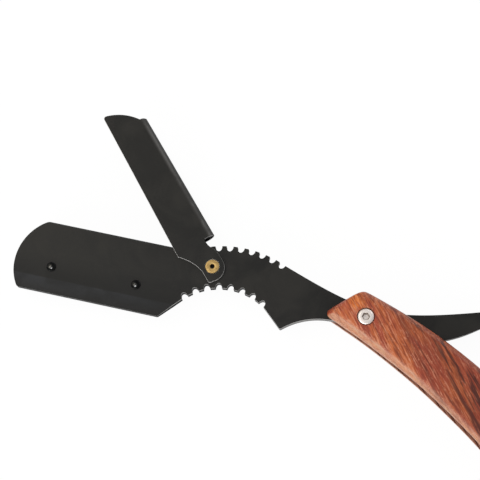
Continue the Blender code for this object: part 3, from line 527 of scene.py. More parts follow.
def coated_steel(name, turn, centre, band_heights, band_colour, band_gloss, handled_from=1.0, dull=(0.0, 0.0)):
    """Matt black coating, browner where it is thin, rubbed on the near walls and with painted shade low
    down.

    One more band is given by the heights, in the piece's own frame, where it starts, is full, and ends.
    The bare steel on the near walls, which face the lamps, is partly wear and partly a painted highlight.
    The painted shade darkens the walls low down and takes away most of their gloss.
    From a distance along the piece, fingers have rubbed the near walls all the way down, and the shade is
    less.
    Up to another, the coating next to the band is darker by a share."""
    material, tree, shader = shader_tree(name)
    x, y = parted(surface_point(tree, turn, centre=centre))[:2]
    smudge, scratch, tooth = marks_on(surface_point(tree, turn), 0.016, 0.006, 0.00022)
    start, full, end = band_heights
    band = times(ranged(y, start, full), ranged(y, end, full), between(smudge, 1.0, 0.45))
    duller = times(ranged(y, start + DULL_REACH, start, 0.0, dull[1]),
                   ranged(x, dull[0] + DULL_RAMP, dull[0]))
    wall = ranged(reckon("ABSOLUTE", parted(coordinate(tree, "Normal"))[2]), WALL_START, WALL_FULL)
    # painted shade: walls darker and less glossy low down, with less of it on the handled shank
    wall_shade = times(wall, ranged(parted(coordinate(tree, "Object"))[2], WALL_SHADE_LEVELS[1], WALL_SHADE_LEVELS[0]),
                  ranged(x, handled_from, handled_from + HANDLED_RAMP, 1.0, HANDLED_SHADE_SHARE))
    # bare steel on the walls that face the near side and its lamps: partly wear, partly painted highlight
    wear_and_sheen = times(wall, near_side(tree, NEAR_START, NEAR_FULL),
                   reckon("SUBTRACT", 1.0, wall_shade), WALL_WEAR_AND_SHEEN)
    colour = layered(mixed(smudge, COATING, COATING_THIN), (duller, COATING_DARK_AND_SHADE), (band, band_colour),
                     (times(scratch, between(band, 0.008, 0.05)), BARE_STEEL),
                     (wall_shade, COATING_DARK_AND_SHADE), (wear_and_sheen, BARE_STEEL))
    dress(shader, tooth, 0.12, 0.00003, Base_Color=colour, Metallic=wear_and_sheen,
          Roughness=between(smudge, 0.40, 0.50),
          Specular_IOR_Level=times(between(band, COAT_GLOSS, band_gloss), between(wall_shade, 1.0, 0.1)))
    return material


def rim_wear_and_sheen(name, turn, centre, start=NEAR_START, coat_kept=(-1.0, 1.0)):
    """The same coating on an edge, rubbed to the steel where its normal turns to the near side, towards the
    lamps.

    The bare steel there is partly wear and partly a painted highlight; edges that face away are made nearly
    unglossy, a painted shade. Edges past an (x, y) corner, farther out and higher up in the piece's own
    frame, keep their coating."""
    material, tree, shader = shader_tree(name)
    point = surface_point(tree, turn)
    smudge, tooth = marks_on(point, 0.004, 0.003, 0.0004)[::2]
    x, y = parted(surface_point(tree, turn, centre=centre))[:2]
    is_open = reckon("MAXIMUM", reckon("GREATER_THAN", x, coat_kept[0]), reckon("LESS_THAN", y, coat_kept[1]))
    near = times(near_side(tree, start, NEAR_FULL), is_open)
    wear_and_sheen = times(near, ranged(noise(point, 4.0, 0.7, scale=300.0), 0.36, 0.60, 0.6, 1.0))
    # bare steel facing the lamps is partly painted highlight; low gloss on edges facing away is painted
    # shade
    dress(shader, tooth, 0.1, 0.00003, Base_Color=mixed(wear_and_sheen, COATING, BARE_STEEL), Metallic=wear_and_sheen,
          Roughness=between(smudge, 0.34, 0.44), Specular_IOR_Level=between(near, 0.03, 0.4))
    return material


ground_top = paddle_edge + EDGE_BEVEL_WIDTH
ground_band = (ground_top + 0.0001, ground_top - 0.0004, paddle_edge - 0.0012)
holder_coating = coated_steel("matt_black_coating", HOLDER_HEADING, pivot, ground_band,
                              COATING_ON_GROUND, COAT_GLOSS, HANDLED_FROM, DULL)
holder_rim = rim_wear_and_sheen("rubbed_black_rim", HOLDER_HEADING, pivot)
holder = prism("razor_holder", holder_outline(), -plate_half, plate_half, holder_coating, holder_rim)
grooves = groove_tree()
for grip in (TOP_GRIP, BOTTOM_GRIP):
    radius, pitch = grip["radius"], grip["pitch"]
    run_tree(holder, grooves, {
        "Arc Centre": (*grip["centre"], 0.0), "Arc Radius": radius, "Count": grip["count"],
        "First Turn": math.radians(90.0 - grip["first_turn"]), "Pitch Turn": pitch / radius,
        "Half Mouth": pitch * grip["mouth_share"] / 2, "Depth": grip["depth"],
        "Height": PLATE_THICKNESS + CUT_OVERRUN, "Steps": GROOVE_STEPS, "Material": holder_coating})
teeth = holder.modifiers.new("rounded_teeth", "BEVEL")
teeth.width = TOOTH_BREAK
teeth.segments = 4
teeth.limit_method = "WEIGHT"


def lengthwise(name, section, start, end):
    """A cutter with a (y, z) section that runs along X."""
    return loft(name, [[(x, y, z) for y, z in section] for x in (start, end)])


toe_end = -toe_reach - CUT_OVERRUN
heel_end = -HEEL_REACH + EDGE_BEVEL_WIDTH + CUT_OVERRUN
over = plate_half + CUT_OVERRUN
edge_over = CUT_OVERRUN * EDGE_BEVEL_DEPTH / EDGE_BEVEL_WIDTH
tip_half = TAIL_TIP_THICKNESS / 2
tail_end = TAIL_REACH + TAIL_TIP_WIDTH
tip_over = CUT_OVERRUN * (plate_half - tip_half) / (tail_end - TAIL_TAPER_START)
for side in (1, -1):
    cut(holder, lengthwise("edge_bevel", [
        (ground_top, side * plate_half),
        (paddle_edge - CUT_OVERRUN, side * (plate_half - EDGE_BEVEL_DEPTH - edge_over)),
        (paddle_edge - CUT_OVERRUN, side * over), (ground_top, side * over)], toe_end, heel_end))
    cut(holder, lengthwise("spine_break", [
        (SPINE_HEIGHT - SPINE_BREAK - CUT_OVERRUN, side * over),
        (SPINE_HEIGHT + CUT_OVERRUN, side * (plate_half - SPINE_BREAK - CUT_OVERRUN)),
        (SPINE_HEIGHT + CUT_OVERRUN, side * over)], toe_end, SPINE_BREAK_END))
    taper = [(TAIL_TAPER_START, side * plate_half), (tail_end + CUT_OVERRUN, side * (tip_half - tip_over)),
             (tail_end + CUT_OVERRUN, side * over), (TAIL_TAPER_START, side * over)]
    cut(holder, loft("tail_taper", [[(x, y, z) for x, z in taper] for y in (-TAIL_REACH, TAIL_REACH)]))
for place, radius in ((0, 0), POST_RADIUS + TURNING_GAP), (rivet_place, RIVET_SHANK_RADIUS + TURNING_GAP):
    drill(holder, place, radius, -over, over)
for place in pin_places:
    drill(holder, place, PIN_SHANK_RADIUS + SEAT_GAP, -over, over)
break_edges(holder, RIM_BREAK)
settle(holder, holder_space)
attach(holder, "holder")
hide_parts("holder_plate")

# Blade pins
# Two steel studs riveted through the paddle, which the blade's holes drop over.
# Each is turned with a low dome, blackened and polished, and closed flush with the paddle's back.
PIN_RADIUS = 0.00175
PIN_DOME_HEIGHT = 0.0007
PIN_RIM_HEIGHT = 0.0002
PIN_BLACK = (0.0015, 0.0015, 0.0017, 1.0)
PIN_BLACK_WORN = (0.006, 0.006, 0.006, 1.0)
PIN_GLOSS = (0.09, 1.0)  # specular level of the blacking and of a spot by the crown, placed as a painted highlight
PIN_HIGHLIGHT_SPOT = (0.0009, 0.0003)  # the painted highlight's gloss fades between these radii
PIN_HIGHLIGHT_DROP = 0.00035  # and lies this far to the near side of the middle
PIN_TURN_STEPS = 48
MERGE_DISTANCE = 0.000001


def turning_tree():
    """Turns a profile about an upright axis, keeps its points' own places, and sets one at each place."""
    tree, given, result = new_tree("turned_part", "GeometryNodeTree", {
        "Geometry": ["Places"], "Object": ["Profile"], "Int": ["Steps"], "Material": ["Material"],
    }, {"Geometry": ["Parts"]})
    profile = add_node(tree, "GeometryNodeObjectInfo", {"Object": given["Profile"]}).outputs["Geometry"]
    rows = add_node(tree, "GeometryNodeAttributeDomainSize", [profile]).outputs["Point Count"]
    spans = reckon("SUBTRACT", rows, 1.0)
    sheet = add_node(tree, "GeometryNodeMeshGrid", {
        "Size X": spans, "Size Y": given["Steps"], "Vertices X": rows,
        "Vertices Y": reckon("ADD", given["Steps"], 1.0)})
    position = tree.nodes.new("GeometryNodeInputPosition").outputs[0]
    x, y = parted(position)[:2]
    turn = times(y, reckon("DIVIDE", 2.0 * math.pi, given["Steps"]))
    radius, level = parted(add_node(tree, "GeometryNodeSampleIndex", {
        "Geometry": profile, "Value": position,
        "Index": reckon("ROUND", reckon("ADD", x, reckon("DIVIDE", spans, 2.0))),
    }, data_type="FLOAT_VECTOR", domain="POINT"))[::2]
    moved = add_node(tree, "GeometryNodeSetPosition", {
        "Geometry": sheet,
        "Position": joined(*(times(radius, reckon(part, turn)) for part in ("COSINE", "SINE")), level)})
    closed = add_node(tree, "GeometryNodeMergeByDistance", {
        "Geometry": add_node(tree, "GeometryNodeFlipFaces", [moved]), "Distance": MERGE_DISTANCE})
    known = add_node(tree, "GeometryNodeStoreNamedAttribute", {
        "Geometry": closed, "Name": "own_place", "Value": position,
    }, data_type="FLOAT_VECTOR", domain="POINT")
    parts = add_node(tree, "GeometryNodeInstanceOnPoints", {"Points": given["Places"], "Instance": known})
    feed(result[0], add_node(tree, "GeometryNodeSetMaterial", {
        "Geometry": add_node(tree, "GeometryNodeRealizeInstances", [parts]),
        "Material": given["Material"]}))
    return tree


turned_part = turning_tree()


def point_object(name, points, *materials):
    """Loose points as an object."""
    mesh = bpy.data.meshes.new(name)
    mesh.from_pydata(points, [], [])
    return new_object(name, mesh, *materials)


def turned(name, profile, places, material, steps=64):
    """A turned part, from its profile of (radius, level) points, at one or more places."""
    piece = point_object(name, [(x, y, 0.0) for x, y in places], material)
    pattern = point_object(name + "_profile", [(radius, 0.0, level) for radius, level in profile])
    run_tree(piece, turned_part, {"Profile": pattern, "Steps": steps, "Material": material})
    harden(piece)
    return piece


def dome(flat, radius, low, high, steps):
    """The part of a profile that rises and rounds in from a radius to the rim of a flat."""
    swings = [math.pi / 2 * i / steps for i in range(steps + 1)]
    return [(flat + (radius - flat) * math.cos(swing), low + (high - low) * math.sin(swing))
            for swing in swings]


def own_place(tree):
    """A turned part's own place, which its tree kept."""
    return add_node(tree, "ShaderNodeAttribute", attribute_name="own_place",
                    attribute_type="GEOMETRY").outputs["Vector"]


def length(vector):
    """How long a vector is."""
    return add_node(vector.id_data, "ShaderNodeVectorMath", [vector], operation="LENGTH").outputs["Value"]


def off_axis(place, shift=(0.0, 0.0, 0.0)):
    """How far a place, shifted or not, is from a turned part's axis."""
    return length(vector_sum("MULTIPLY_ADD", place, (1.0, 1.0, 0.0), shift))


def polished_black():
    """Polished black stud, with a few hairlines, a rim that is rubbed a little grey, and a spot of extra
    gloss by its crown, a painted highlight.
    """
    material, tree, shader = shader_tree("polished_black")
    smudge, scratch = marks_on(surface_point(tree, HOLDER_HEADING), 0.0016, 0.0016, 0.0002)[:2]
    # extra gloss on a spot near the crown, shifted to the near side: a painted highlight
    reach = off_axis(own_place(tree), (0.0, PIN_HIGHLIGHT_DROP, 0.0))
    dress(shader, scratch, 0.15, 0.00001, Base_Color=mixed(times(smudge, 0.35), PIN_BLACK, PIN_BLACK_WORN),
          Roughness=between(smudge, 0.09, 0.16), Specular_IOR_Level=ranged(reach, *PIN_HIGHLIGHT_SPOT, *PIN_GLOSS))
    return material


pin_base = plate_half + SEAT_GAP
pin_crown = pin_base + PIN_RIM_HEIGHT
pin_profile = [(0.0, -plate_half), (PIN_SHANK_RADIUS, -plate_half), (PIN_SHANK_RADIUS, pin_base),
               (PIN_RADIUS - PIN_RIM_HEIGHT / 4, pin_base), (PIN_RADIUS, pin_base + PIN_RIM_HEIGHT / 4)]
pin_profile += dome(0.0, PIN_RADIUS, pin_crown, pin_crown + PIN_DOME_HEIGHT - PIN_RIM_HEIGHT, 12)
pins = turned("blade_pins", pin_profile, pin_places, polished_black(), PIN_TURN_STEPS)
settle(pins, holder_space)
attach(pins, "holder")
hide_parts("blade_pin_heel", "blade_pin_toe")

# Leaf rivet
# A tubular brass rivet that the cover leaf turns on, with both ends rolled out into flat flanges.
# Its front flange lies in a counterbore of the leaf, its back one bears on the holder.
RIVET_FLANGE_RADIUS = 0.00255
RIVET_FLANGE_THICKNESS = 0.00045
RIVET_BORE_RADIUS = 0.00080
RIVET_BACK_BORE = 0.00030  # the rolled back end draws the bore in
RIVET_SINK = 0.0003
RIVET_LIP = 0.00015
SHEET_GAP = 0.00015
LEAF_THICKNESS = 0.0008
BRASS_BRIGHT = (0.43, 0.295, 0.118, 1.0)
BRASS_DULL = (0.26, 0.163, 0.060, 1.0)
# near black: painted shade in the rivet's bore
BRASS_BORE_SHADE = (0.020, 0.008, 0.004, 1.0)

leaf_inner = plate_half + SHEET_GAP
leaf_outer = leaf_inner + LEAF_THICKNESS


def ring_group():
    """Fine concentric lines that a lathe leaves, from a turned part's own place."""
    tree, given, result = new_tree("turned_rings", "ShaderNodeTree", {
        "Vector": ["Point"], "Float": ["Spacing"]}, {"Float": ["Rings"]})
    both_ways = (off_axis(given["Point"]), parted(given["Point"])[2])
    lines = joined(*(reckon("DIVIDE", way, given["Spacing"]) for way in both_ways))
    feed(result[0], noise(lines, 3.0, 0.7))
    return tree


turned_rings = ring_group()


def rings_on(place, spacing):
    """Turned rings at a part's own place."""
    return add_node(place.id_data, "ShaderNodeGroup", (place, spacing), node_tree=turned_rings).outputs[0]


def turned_brass():
    """Turned and lightly tarnished brass, redder and duller in patches, with painted shade darkening the
    bore.
    """
    material, tree, shader = shader_tree("turned_brass")
    place = own_place(tree)
    rings = rings_on(place, 0.00012)
    dull = times(marks_on(place, 0.0018, 0.0016, 0.0001)[0], ranged(rings, 0.38, 0.62, 0.25, 1.0))
    # painted shade in the bore: dark, not metallic, hardly glossy
    bore_shade = ranged(off_axis(place), RIVET_BORE_RADIUS + RIVET_LIP, RIVET_BORE_RADIUS)
    dress(shader, rings, 0.15, 0.00001,
          Base_Color=mixed(bore_shade, mixed(dull, BRASS_BRIGHT, BRASS_DULL), BRASS_BORE_SHADE),
          Metallic=between(bore_shade, 1.0, 0.0), Specular_IOR_Level=between(bore_shade, 0.5, 0.05),
          Roughness=ranged(rings, 0.3, 0.7, 0.34, 0.46))
    return material


def lip(x, y, start_turn, radius=RIVET_LIP):
    """Points of a quarter round inside a flange's corner, from a start turn on counter-clockwise."""
    return arc((x, y), radius, start_turn, start_turn + 90.0, 4)


front_low = leaf_outer - RIVET_SINK + SEAT_GAP
front_high = front_low + RIVET_FLANGE_THICKNESS
back_high = -plate_half - SEAT_GAP
back_low = back_high - RIVET_FLANGE_THICKNESS
outer_lip = RIVET_FLANGE_RADIUS - RIVET_LIP
rivet_profile = [
    (RIVET_SHANK_RADIUS, back_high), (RIVET_SHANK_RADIUS, front_low), (RIVET_FLANGE_RADIUS, front_low),
    *lip(outer_lip, front_high - RIVET_LIP, 0.0),
    *lip(RIVET_BORE_RADIUS + RIVET_LIP, front_high - RIVET_LIP, 90.0),
    (RIVET_BORE_RADIUS, back_high + RIVET_FLANGE_THICKNESS),
    *lip(RIVET_BACK_BORE + RIVET_LIP, back_low + RIVET_LIP, 180.0),
    *lip(outer_lip, back_low + RIVET_LIP, 270.0),
    (RIVET_FLANGE_RADIUS, back_high), (RIVET_SHANK_RADIUS, back_high),
]
rivet_tube = turned("rivet_tube", rivet_profile, [rivet_place], turned_brass())
settle(rivet_tube, holder_space, sharp_angle=50.0)
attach(rivet_tube, "holder")
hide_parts("leaf_rivet")

# Cover leaf
# Bent sheet steel that clamps the blade: a flat front and, along its top, a fold that grips the spine.
# It turns on the rivet and carries the holder's matt black coating, rubbed along the fold, where its
# lighter colour is also a painted sheen.
LEAF_OPEN_ANGLE = -47.6  # from lying closed on the holder
SPINE_ROOM = 0.0013  # between the spine and the inside of the closed leaf's fold
LEAF_LIP_WIDTH = 0.0045
LEAF_CHANNEL_NEAR = 0.0107
LEAF_HEEL = (-0.0095, -0.0092)
LEAF_TIP_DROP = 0.0077
LEAF_CORNER_RADIUS = 0.0010
LEAF_CORNER_RUN = 0.0018
EAR_DROP = 0.00085  # middle of the ear's arc, below the rivet
EAR_RADIUS = 0.00525
EAR_START_TURN = -18.0  # where its arc starts, in degrees from the leaf's own +X
EAR_FOOT = (0.0049, -0.0041)
EAR_FOOT_RADIUS = 0.0009
EAR_NECK = (-0.0064, 0.0034)
EAR_NECK_HEADING = -130.0
EAR_BACK_HEADING = -157.0  # how its back arrives at the neck
EAR_BACK_PULL = 0.0024
EAR_NOTCH_DEPTH = 0.0010
EAR_NOTCH_PULL = 0.0013
EAR_SWEEP_HEADING = 45.0
EAR_SWEEP_END_HEADING = 8.0
EAR_SWEEP_PULL = 0.0036
FOLD_STEPS = 32
FOLD_END_SLANT = 0.0005  # how far the fold's end is drawn back at its crown
# the fold's lighter colour: partly wear, partly painted sheen
FOLD_WEAR_AND_SHEEN = (0.048, 0.046, 0.043, 1.0)
FOLD_GLOSS = 0.40
LEAF_COAT_KEPT = (-0.008, 0.0)  # past this corner the leaf's edges keep their coating
LEAF_RIM_START = 0.42  # +Y part of the normal where the wear and the painted highlight on them start
LEAF_RIM_BREAK = 0.00015

leaf_turn = HOLDER_HEADING + LEAF_OPEN_ANGLE
leaf_space = turned_space(rivet, leaf_turn)
fold_rise = SPINE_HEIGHT - rivet_place.y + SPINE_ROOM + LEAF_THICKNESS
fold_line = fold_rise - leaf_outer


def leaf_outline():
    """The flat front of the leaf, counter-clockwise; its first and last points end the fold line."""
    tip_centre = (toe_centre[0] - rivet_place.x, toe_centre[1] - rivet_place.y)
    top_turn = toe_turn(fold_line - tip_centre[1])
    low_turn = toe_turn(-LEAF_TIP_DROP - tip_centre[1])
    corner_turn = math.degrees(LEAF_CORNER_RUN / toe_radius)
    sweep = curve(LEAF_HEEL, EAR_SWEEP_HEADING, EAR_SWEEP_PULL,
                  (0, EAR_FOOT[1]), EAR_SWEEP_END_HEADING, EAR_SWEEP_PULL, 24)
    ear = arc((0, -EAR_DROP), EAR_RADIUS, EAR_START_TURN, 90.0, 36)
    tip = arc(tip_centre, toe_radius, top_turn, low_turn - corner_turn, 40)
    return [
        *tip,
        *rounded(tip[-1], polar(tip_centre, toe_radius, low_turn), LEAF_HEEL, LEAF_CORNER_RADIUS),
        *sweep,
        *rounded(sweep[-1], EAR_FOOT, ear[0], EAR_FOOT_RADIUS),
        *ear,
        *curve(ear[-1], 180.0, EAR_BACK_PULL, EAR_NECK, EAR_BACK_HEADING, EAR_BACK_PULL, 12)[1:-1],
        *curve(EAR_NECK, EAR_NECK_HEADING, EAR_NOTCH_PULL,
               (-LEAF_CHANNEL_NEAR, EAR_NECK[1] - EAR_NOTCH_DEPTH), 180.0, EAR_NOTCH_PULL, 10),
        (-LEAF_CHANNEL_NEAR, fold_line),
    ]


def bent_leaf(*materials):
    """The flat front with its top edge folded round into a channel with a narrow back lip."""
    outline = leaf_outline()
    bm = bmesh.new()
    front, inside = ([bm.verts.new((x, y, z)) for x, y in outline] for z in (leaf_outer, leaf_inner))
    bm.faces.new(front)
    bm.faces.new(inside[::-1])
    for i in range(len(outline) - 1):
        bm.faces.new((inside[i], inside[i + 1], front[i + 1], front[i]))
    outer = [(front[0], front[-1])]
    inner = [(inside[0], inside[-1])]
    for i in range(1, FOLD_STEPS + 2):
        swing = math.pi * min(i, FOLD_STEPS) / FOLD_STEPS
        far_end = outline[0][0] + FOLD_END_SLANT * math.sin(swing)**2
        for ends, radius in ((outer, leaf_outer), (inner, leaf_inner)):
            y = fold_line + radius * math.sin(swing) if i <= FOLD_STEPS else fold_rise - LEAF_LIP_WIDTH
            z = radius * math.cos(swing)
            ends.append((bm.verts.new((far_end, y, z)), bm.verts.new((-LEAF_CHANNEL_NEAR, y, z))))
    for (a, b), (c, d), (e, f), (g, h) in zip(outer, outer[1:], inner, inner[1:]):
        for corners in ((a, b, d, c), (f, e, g, h), (a, c, g, e), (d, b, f, h)):
            bm.faces.new(corners)
    bm.faces.new((*outer[-1], *reversed(inner[-1])))
    return solid("cover_sheet", bm, *materials)


fold_band = (fold_line - 0.0002, fold_line + 0.0010, fold_line + 0.0024)
leaf = bent_leaf(
    coated_steel("leaf_black_coating", leaf_turn, rivet, fold_band, FOLD_WEAR_AND_SHEEN, FOLD_GLOSS),
    rim_wear_and_sheen("leaf_rubbed_rim", leaf_turn, rivet, LEAF_RIM_START, LEAF_COAT_KEPT))
for radius, floor in ((RIVET_SHANK_RADIUS, plate_half), (RIVET_FLANGE_RADIUS, leaf_outer - RIVET_SINK)):
    drill(leaf, (0, 0), radius + TURNING_GAP, floor, leaf_outer + CUT_OVERRUN)
break_edges(leaf, LEAF_RIM_BREAK)
settle(leaf, leaf_space)
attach(leaf, "leaf")
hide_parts("cover_leaf")

# Pivot washers
# Two thin steel washers that keep the coated holder off the wood, each in a recess of its scale.
# They are stamped and tumbled; the shapes of the solid model stand, and only get their finish.
STEEL_BRIGHT = (0.72, 0.66, 0.63, 1.0)
STEEL_GREY = (0.56, 0.52, 0.50, 1.0)


def tumbled_steel():
    """Plain tumbled steel with a soft, cloudy grain."""
    material, tree, shader = shader_tree("tumbled_steel")
    smudge, tooth = marks_on(surface_point(tree), 0.003, 0.004, 0.0003)[::2]
    dress(shader, tooth, 0.1, 0.00002, Base_Color=mixed(smudge, STEEL_BRIGHT, STEEL_GREY),
          Metallic=1.0, Roughness=ranged(tooth, 0.3, 0.7, 0.28, 0.42))
    return material


washer_steel = tumbled_steel()
for name in ("pivot_washer_front", "pivot_washer_back"):
    for slot in bpy.data.objects[name].material_slots:
        slot.material = washer_steel

# Handle scales
# Two halves of oiled rosewood with all their outer edges rounded, curved down and wider towards the middle.
# They are close together at the pivot, spread where the holder folds in, and bored for screws and washers.
HANDLE_HEADING = -32.0
SCALE_THICKNESS = 0.0034
PLATE_ROOM = 0.00025
LEAF_ROOM = 0.00085
HEAD_STANDS_OUT = 0.0002
HEAD_SEAT_DEPTH = 0.0015
HEAD_RADIUS = 0.0031
HEAD_ROOM = 0.00012
WASHER_RADIUS = 0.0045
WASHER_THICKNESS = 0.0008
HANDLE_REACH = 0.152
HANDLE_CURVE_RADIUS = 0.215
HANDLE_EASE_START = 0.048  # from here the curve eases out
HANDLE_EASE_END = 0.088  # and from here the handle runs straight
# width from the middle curve, where the edge ends at the nose, its corner there, and shares of the width
UPPER_EDGE = dict(width=0.0103, nose=0.0067, corner=0.0028,
                  shares=(0.80, 0.84, 0.95, 0.985, 1.0, 0.95, 0.86))
LOWER_EDGE = dict(width=0.0095, nose=0.0133, corner=0.0018,
                  shares=(0.635, 0.745, 0.895, 0.965, 1.0, 0.97, 0.88))
SHARE_PLACES = (-0.09, 0.0, 0.2, 0.4, 0.6, 0.8, 1.0)  # along the handle's reach
HANDLE_NOSE_BLEND = 0.012
HANDLE_NOSE_BULGE = 0.0005
HANDLE_ROUND_END = 0.013
SCALE_EDGE_ROUND = 0.0030
SCALE_END_ROUND = 0.0020
SCALE_EDGE_WALL = 0.0010
SCALE_SPREAD_START = 0.006
SCALE_SPREAD_END = 0.046
RIM_SHARE = 0.45
END_SCREW_FROM_END = 0.0085
SCALE_STATION_STEP = 0.0024
END_STATIONS = 18
NOSE_STATIONS = 10
RIM_STEPS = 9
FACE_STEPS = 8
LAST_SHARE = 0.99  # of the rounded end, where the scale stops
MIDDLE_STEPS = 64
GRAIN_TURN = -63.0
INSIDE_GRAIN_TURN = -61.0
GRAIN_SWAY = 0.0014
SHEEN_FULL = -0.65  # +Y part of the normal where the painted sheen is strongest
WOOD_ORANGE = (0.58, 0.155, 0.018, 1.0)
WOOD_PALE = (0.50, 0.215, 0.125, 1.0)
WOOD_WARM = (0.40, 0.096, 0.026, 1.0)
WOOD_RED = (0.29, 0.050, 0.021, 1.0)
WOOD_DARK = (0.130, 0.0170, 0.0055, 1.0)
WOOD_BLACK = (0.038, 0.0060, 0.0035, 1.0)
WOOD_PAINTED_SHEEN = (0.335, 0.175, 0.100, 1.0)  # pale painted sheen on the near edge, which faces the lamps
WOOD_GLOSS = 0.34
# the inner faces, dark brown as painted shade of the gap between the scales
INSIDE_BROWN = (0.300, 0.130, 0.085, 1.0)
INSIDE_GLOSS = 0.1

handle_space = turned_space(pivot, HANDLE_HEADING)
pivot_inner = plate_half + PLATE_ROOM
belly_inner = leaf_outer + LEAF_ROOM
scale_outer = belly_inner + SCALE_THICKNESS
head_level = scale_outer + HEAD_STANDS_OUT
head_seat = scale_outer - HEAD_SEAT_DEPTH
round_start = HANDLE_REACH - HANDLE_ROUND_END


def held(share):
    """A share held between 0 and 1."""
    return min(max(share, 0.0), 1.0)


def smooth_step(share):
    """0 to 1 with level ends."""
    return held(share)**2 * (3.0 - 2.0 * held(share))


def from_shares(places, values, along):
    """Read a table of shares as a smooth curve through its places."""
    last = len(places) - 1
    along = min(max(along, places[0]), places[last])
    i = 0
    while i < last - 1 and along > places[i + 1]:
        i += 1
    slopes = []
    for k in (i, i + 1):
        before, after = max(k - 1, 0), min(k + 1, last)
        slopes.append((values[after] - values[before]) / (places[after] - places[before]))
    run = places[i + 1] - places[i]
    t = (along - places[i]) / run
    start = values[i] + slopes[0] * run * t
    end = values[i + 1] - slopes[1] * run * (1.0 - t)
    return start + (end - start) * smooth_step(t)


def quarter_round(depth, radius):
    """Height share of a rounded edge at a depth in from it."""
    return math.sqrt(max(0.0, 1.0 - (1.0 - min(depth / radius, 1.0))**2))


def middle_turn(along):
    """How far the handle's middle curve has turned, in radians: an even bend that eases out."""
    ease = HANDLE_EASE_END - HANDLE_EASE_START
    share = held((along - HANDLE_EASE_START) / ease)
    return (min(along, HANDLE_EASE_START) + ease * (share - share * share / 2)) / HANDLE_CURVE_RADIUS


def handle_point(along, across):
    """A point of the handle: distance along its middle curve and distance up from it."""
    step = along / MIDDLE_STEPS
    turns = [middle_turn(step * (i + 0.5)) for i in range(MIDDLE_STEPS)]
    x = step * sum(math.cos(turn) for turn in turns)
    y = -step * sum(math.sin(turn) for turn in turns)
    turn = middle_turn(along)
    return (x + across * math.sin(turn), y + across * math.cos(turn))


def edge_reach(along, edge):
    """Distance from the middle curve to the upper or lower edge, drawn in at the nose and the round end."""
    wide = edge["width"] * from_shares(SHARE_PLACES, edge["shares"], along / HANDLE_REACH)
    drop = edge["corner"] * (1.0 - quarter_round(along + edge["nose"], edge["corner"]))
    into = (along - round_start) / HANDLE_ROUND_END
    return (wide - drop) * math.sqrt(max(0.0, 1.0 - max(0.0, into)**2))


def inner_level(along):
    """Level of a scale's inner face: close at the pivot, spread where the holder folds away."""
    share = smooth_step((along - SCALE_SPREAD_START) / (SCALE_SPREAD_END - SCALE_SPREAD_START))
    return pivot_inner + (belly_inner - pivot_inner) * share


def scale_stations():
    """Distances along the handle where a scale has a cross-section."""
    turns = [math.pi / 2 * i / NOSE_STATIONS for i in range(NOSE_STATIONS + 1)]
    stations = [-LOWER_EDGE["nose"] + SCALE_END_ROUND * (1.0 - math.cos(turn)) for turn in turns]
    straight = -LOWER_EDGE["nose"] + UPPER_EDGE["corner"]
    steps = round((round_start - straight) / SCALE_STATION_STEP)
    stations += [straight + (round_start - straight) * i / steps for i in range(steps + 1)]
    turns = [math.asin(LAST_SHARE) * i / END_STATIONS for i in range(1, END_STATIONS + 1)]
    return stations + [round_start + HANDLE_ROUND_END * math.sin(turn) for turn in turns]


def station_points(along, side):
    """One cross-section of a scale, from its lower to its upper edge: (x, y, inner level, outer level)."""
    blend_share = (along + LOWER_EDGE["nose"]) / (HANDLE_NOSE_BLEND + LOWER_EDGE["nose"])
    upper_along = along
    if blend_share < 1.0:
        upper_along = -UPPER_EDGE["nose"] + (HANDLE_NOSE_BLEND + UPPER_EDGE["nose"]) * blend_share
    low = Vector(handle_point(along, -edge_reach(along, LOWER_EDGE)))
    high = Vector(handle_point(upper_along, edge_reach(upper_along, UPPER_EDGE)))
    width = (high - low).length
    rim = min(SCALE_EDGE_ROUND, width * RIM_SHARE)
    shares = [rim * (1.0 - math.cos(math.pi / 2 * i / RIM_STEPS)) / width for i in range(RIM_STEPS + 1)]
    face = [shares[-1] + (1.0 - 2.0 * shares[-1]) * i / FACE_STEPS for i in range(1, FACE_STEPS)]
    shares = shares + face + [1.0 - share for share in reversed(shares)]
    last = HANDLE_REACH - HANDLE_ROUND_END * (1.0 - LAST_SHARE)
    end_height = quarter_round(along + LOWER_EDGE["nose"], SCALE_END_ROUND)
    end_height *= quarter_round(last - along, SCALE_END_ROUND)
    rows = []
    for share in shares:
        x, y = low.lerp(high, share)
        x -= HANDLE_NOSE_BULGE * (1.0 - (2.0 * share - 1.0)**2) * max(0.0, 1.0 - blend_share)
        inner = inner_level(along + (upper_along - along) * share)
        rise = quarter_round(min(share, 1.0 - share) * width, rim) * end_height
        wall = inner + SCALE_EDGE_WALL
        rows.append((x, y, side * inner, side * (wall + (scale_outer - wall) * rise)))
    return rows


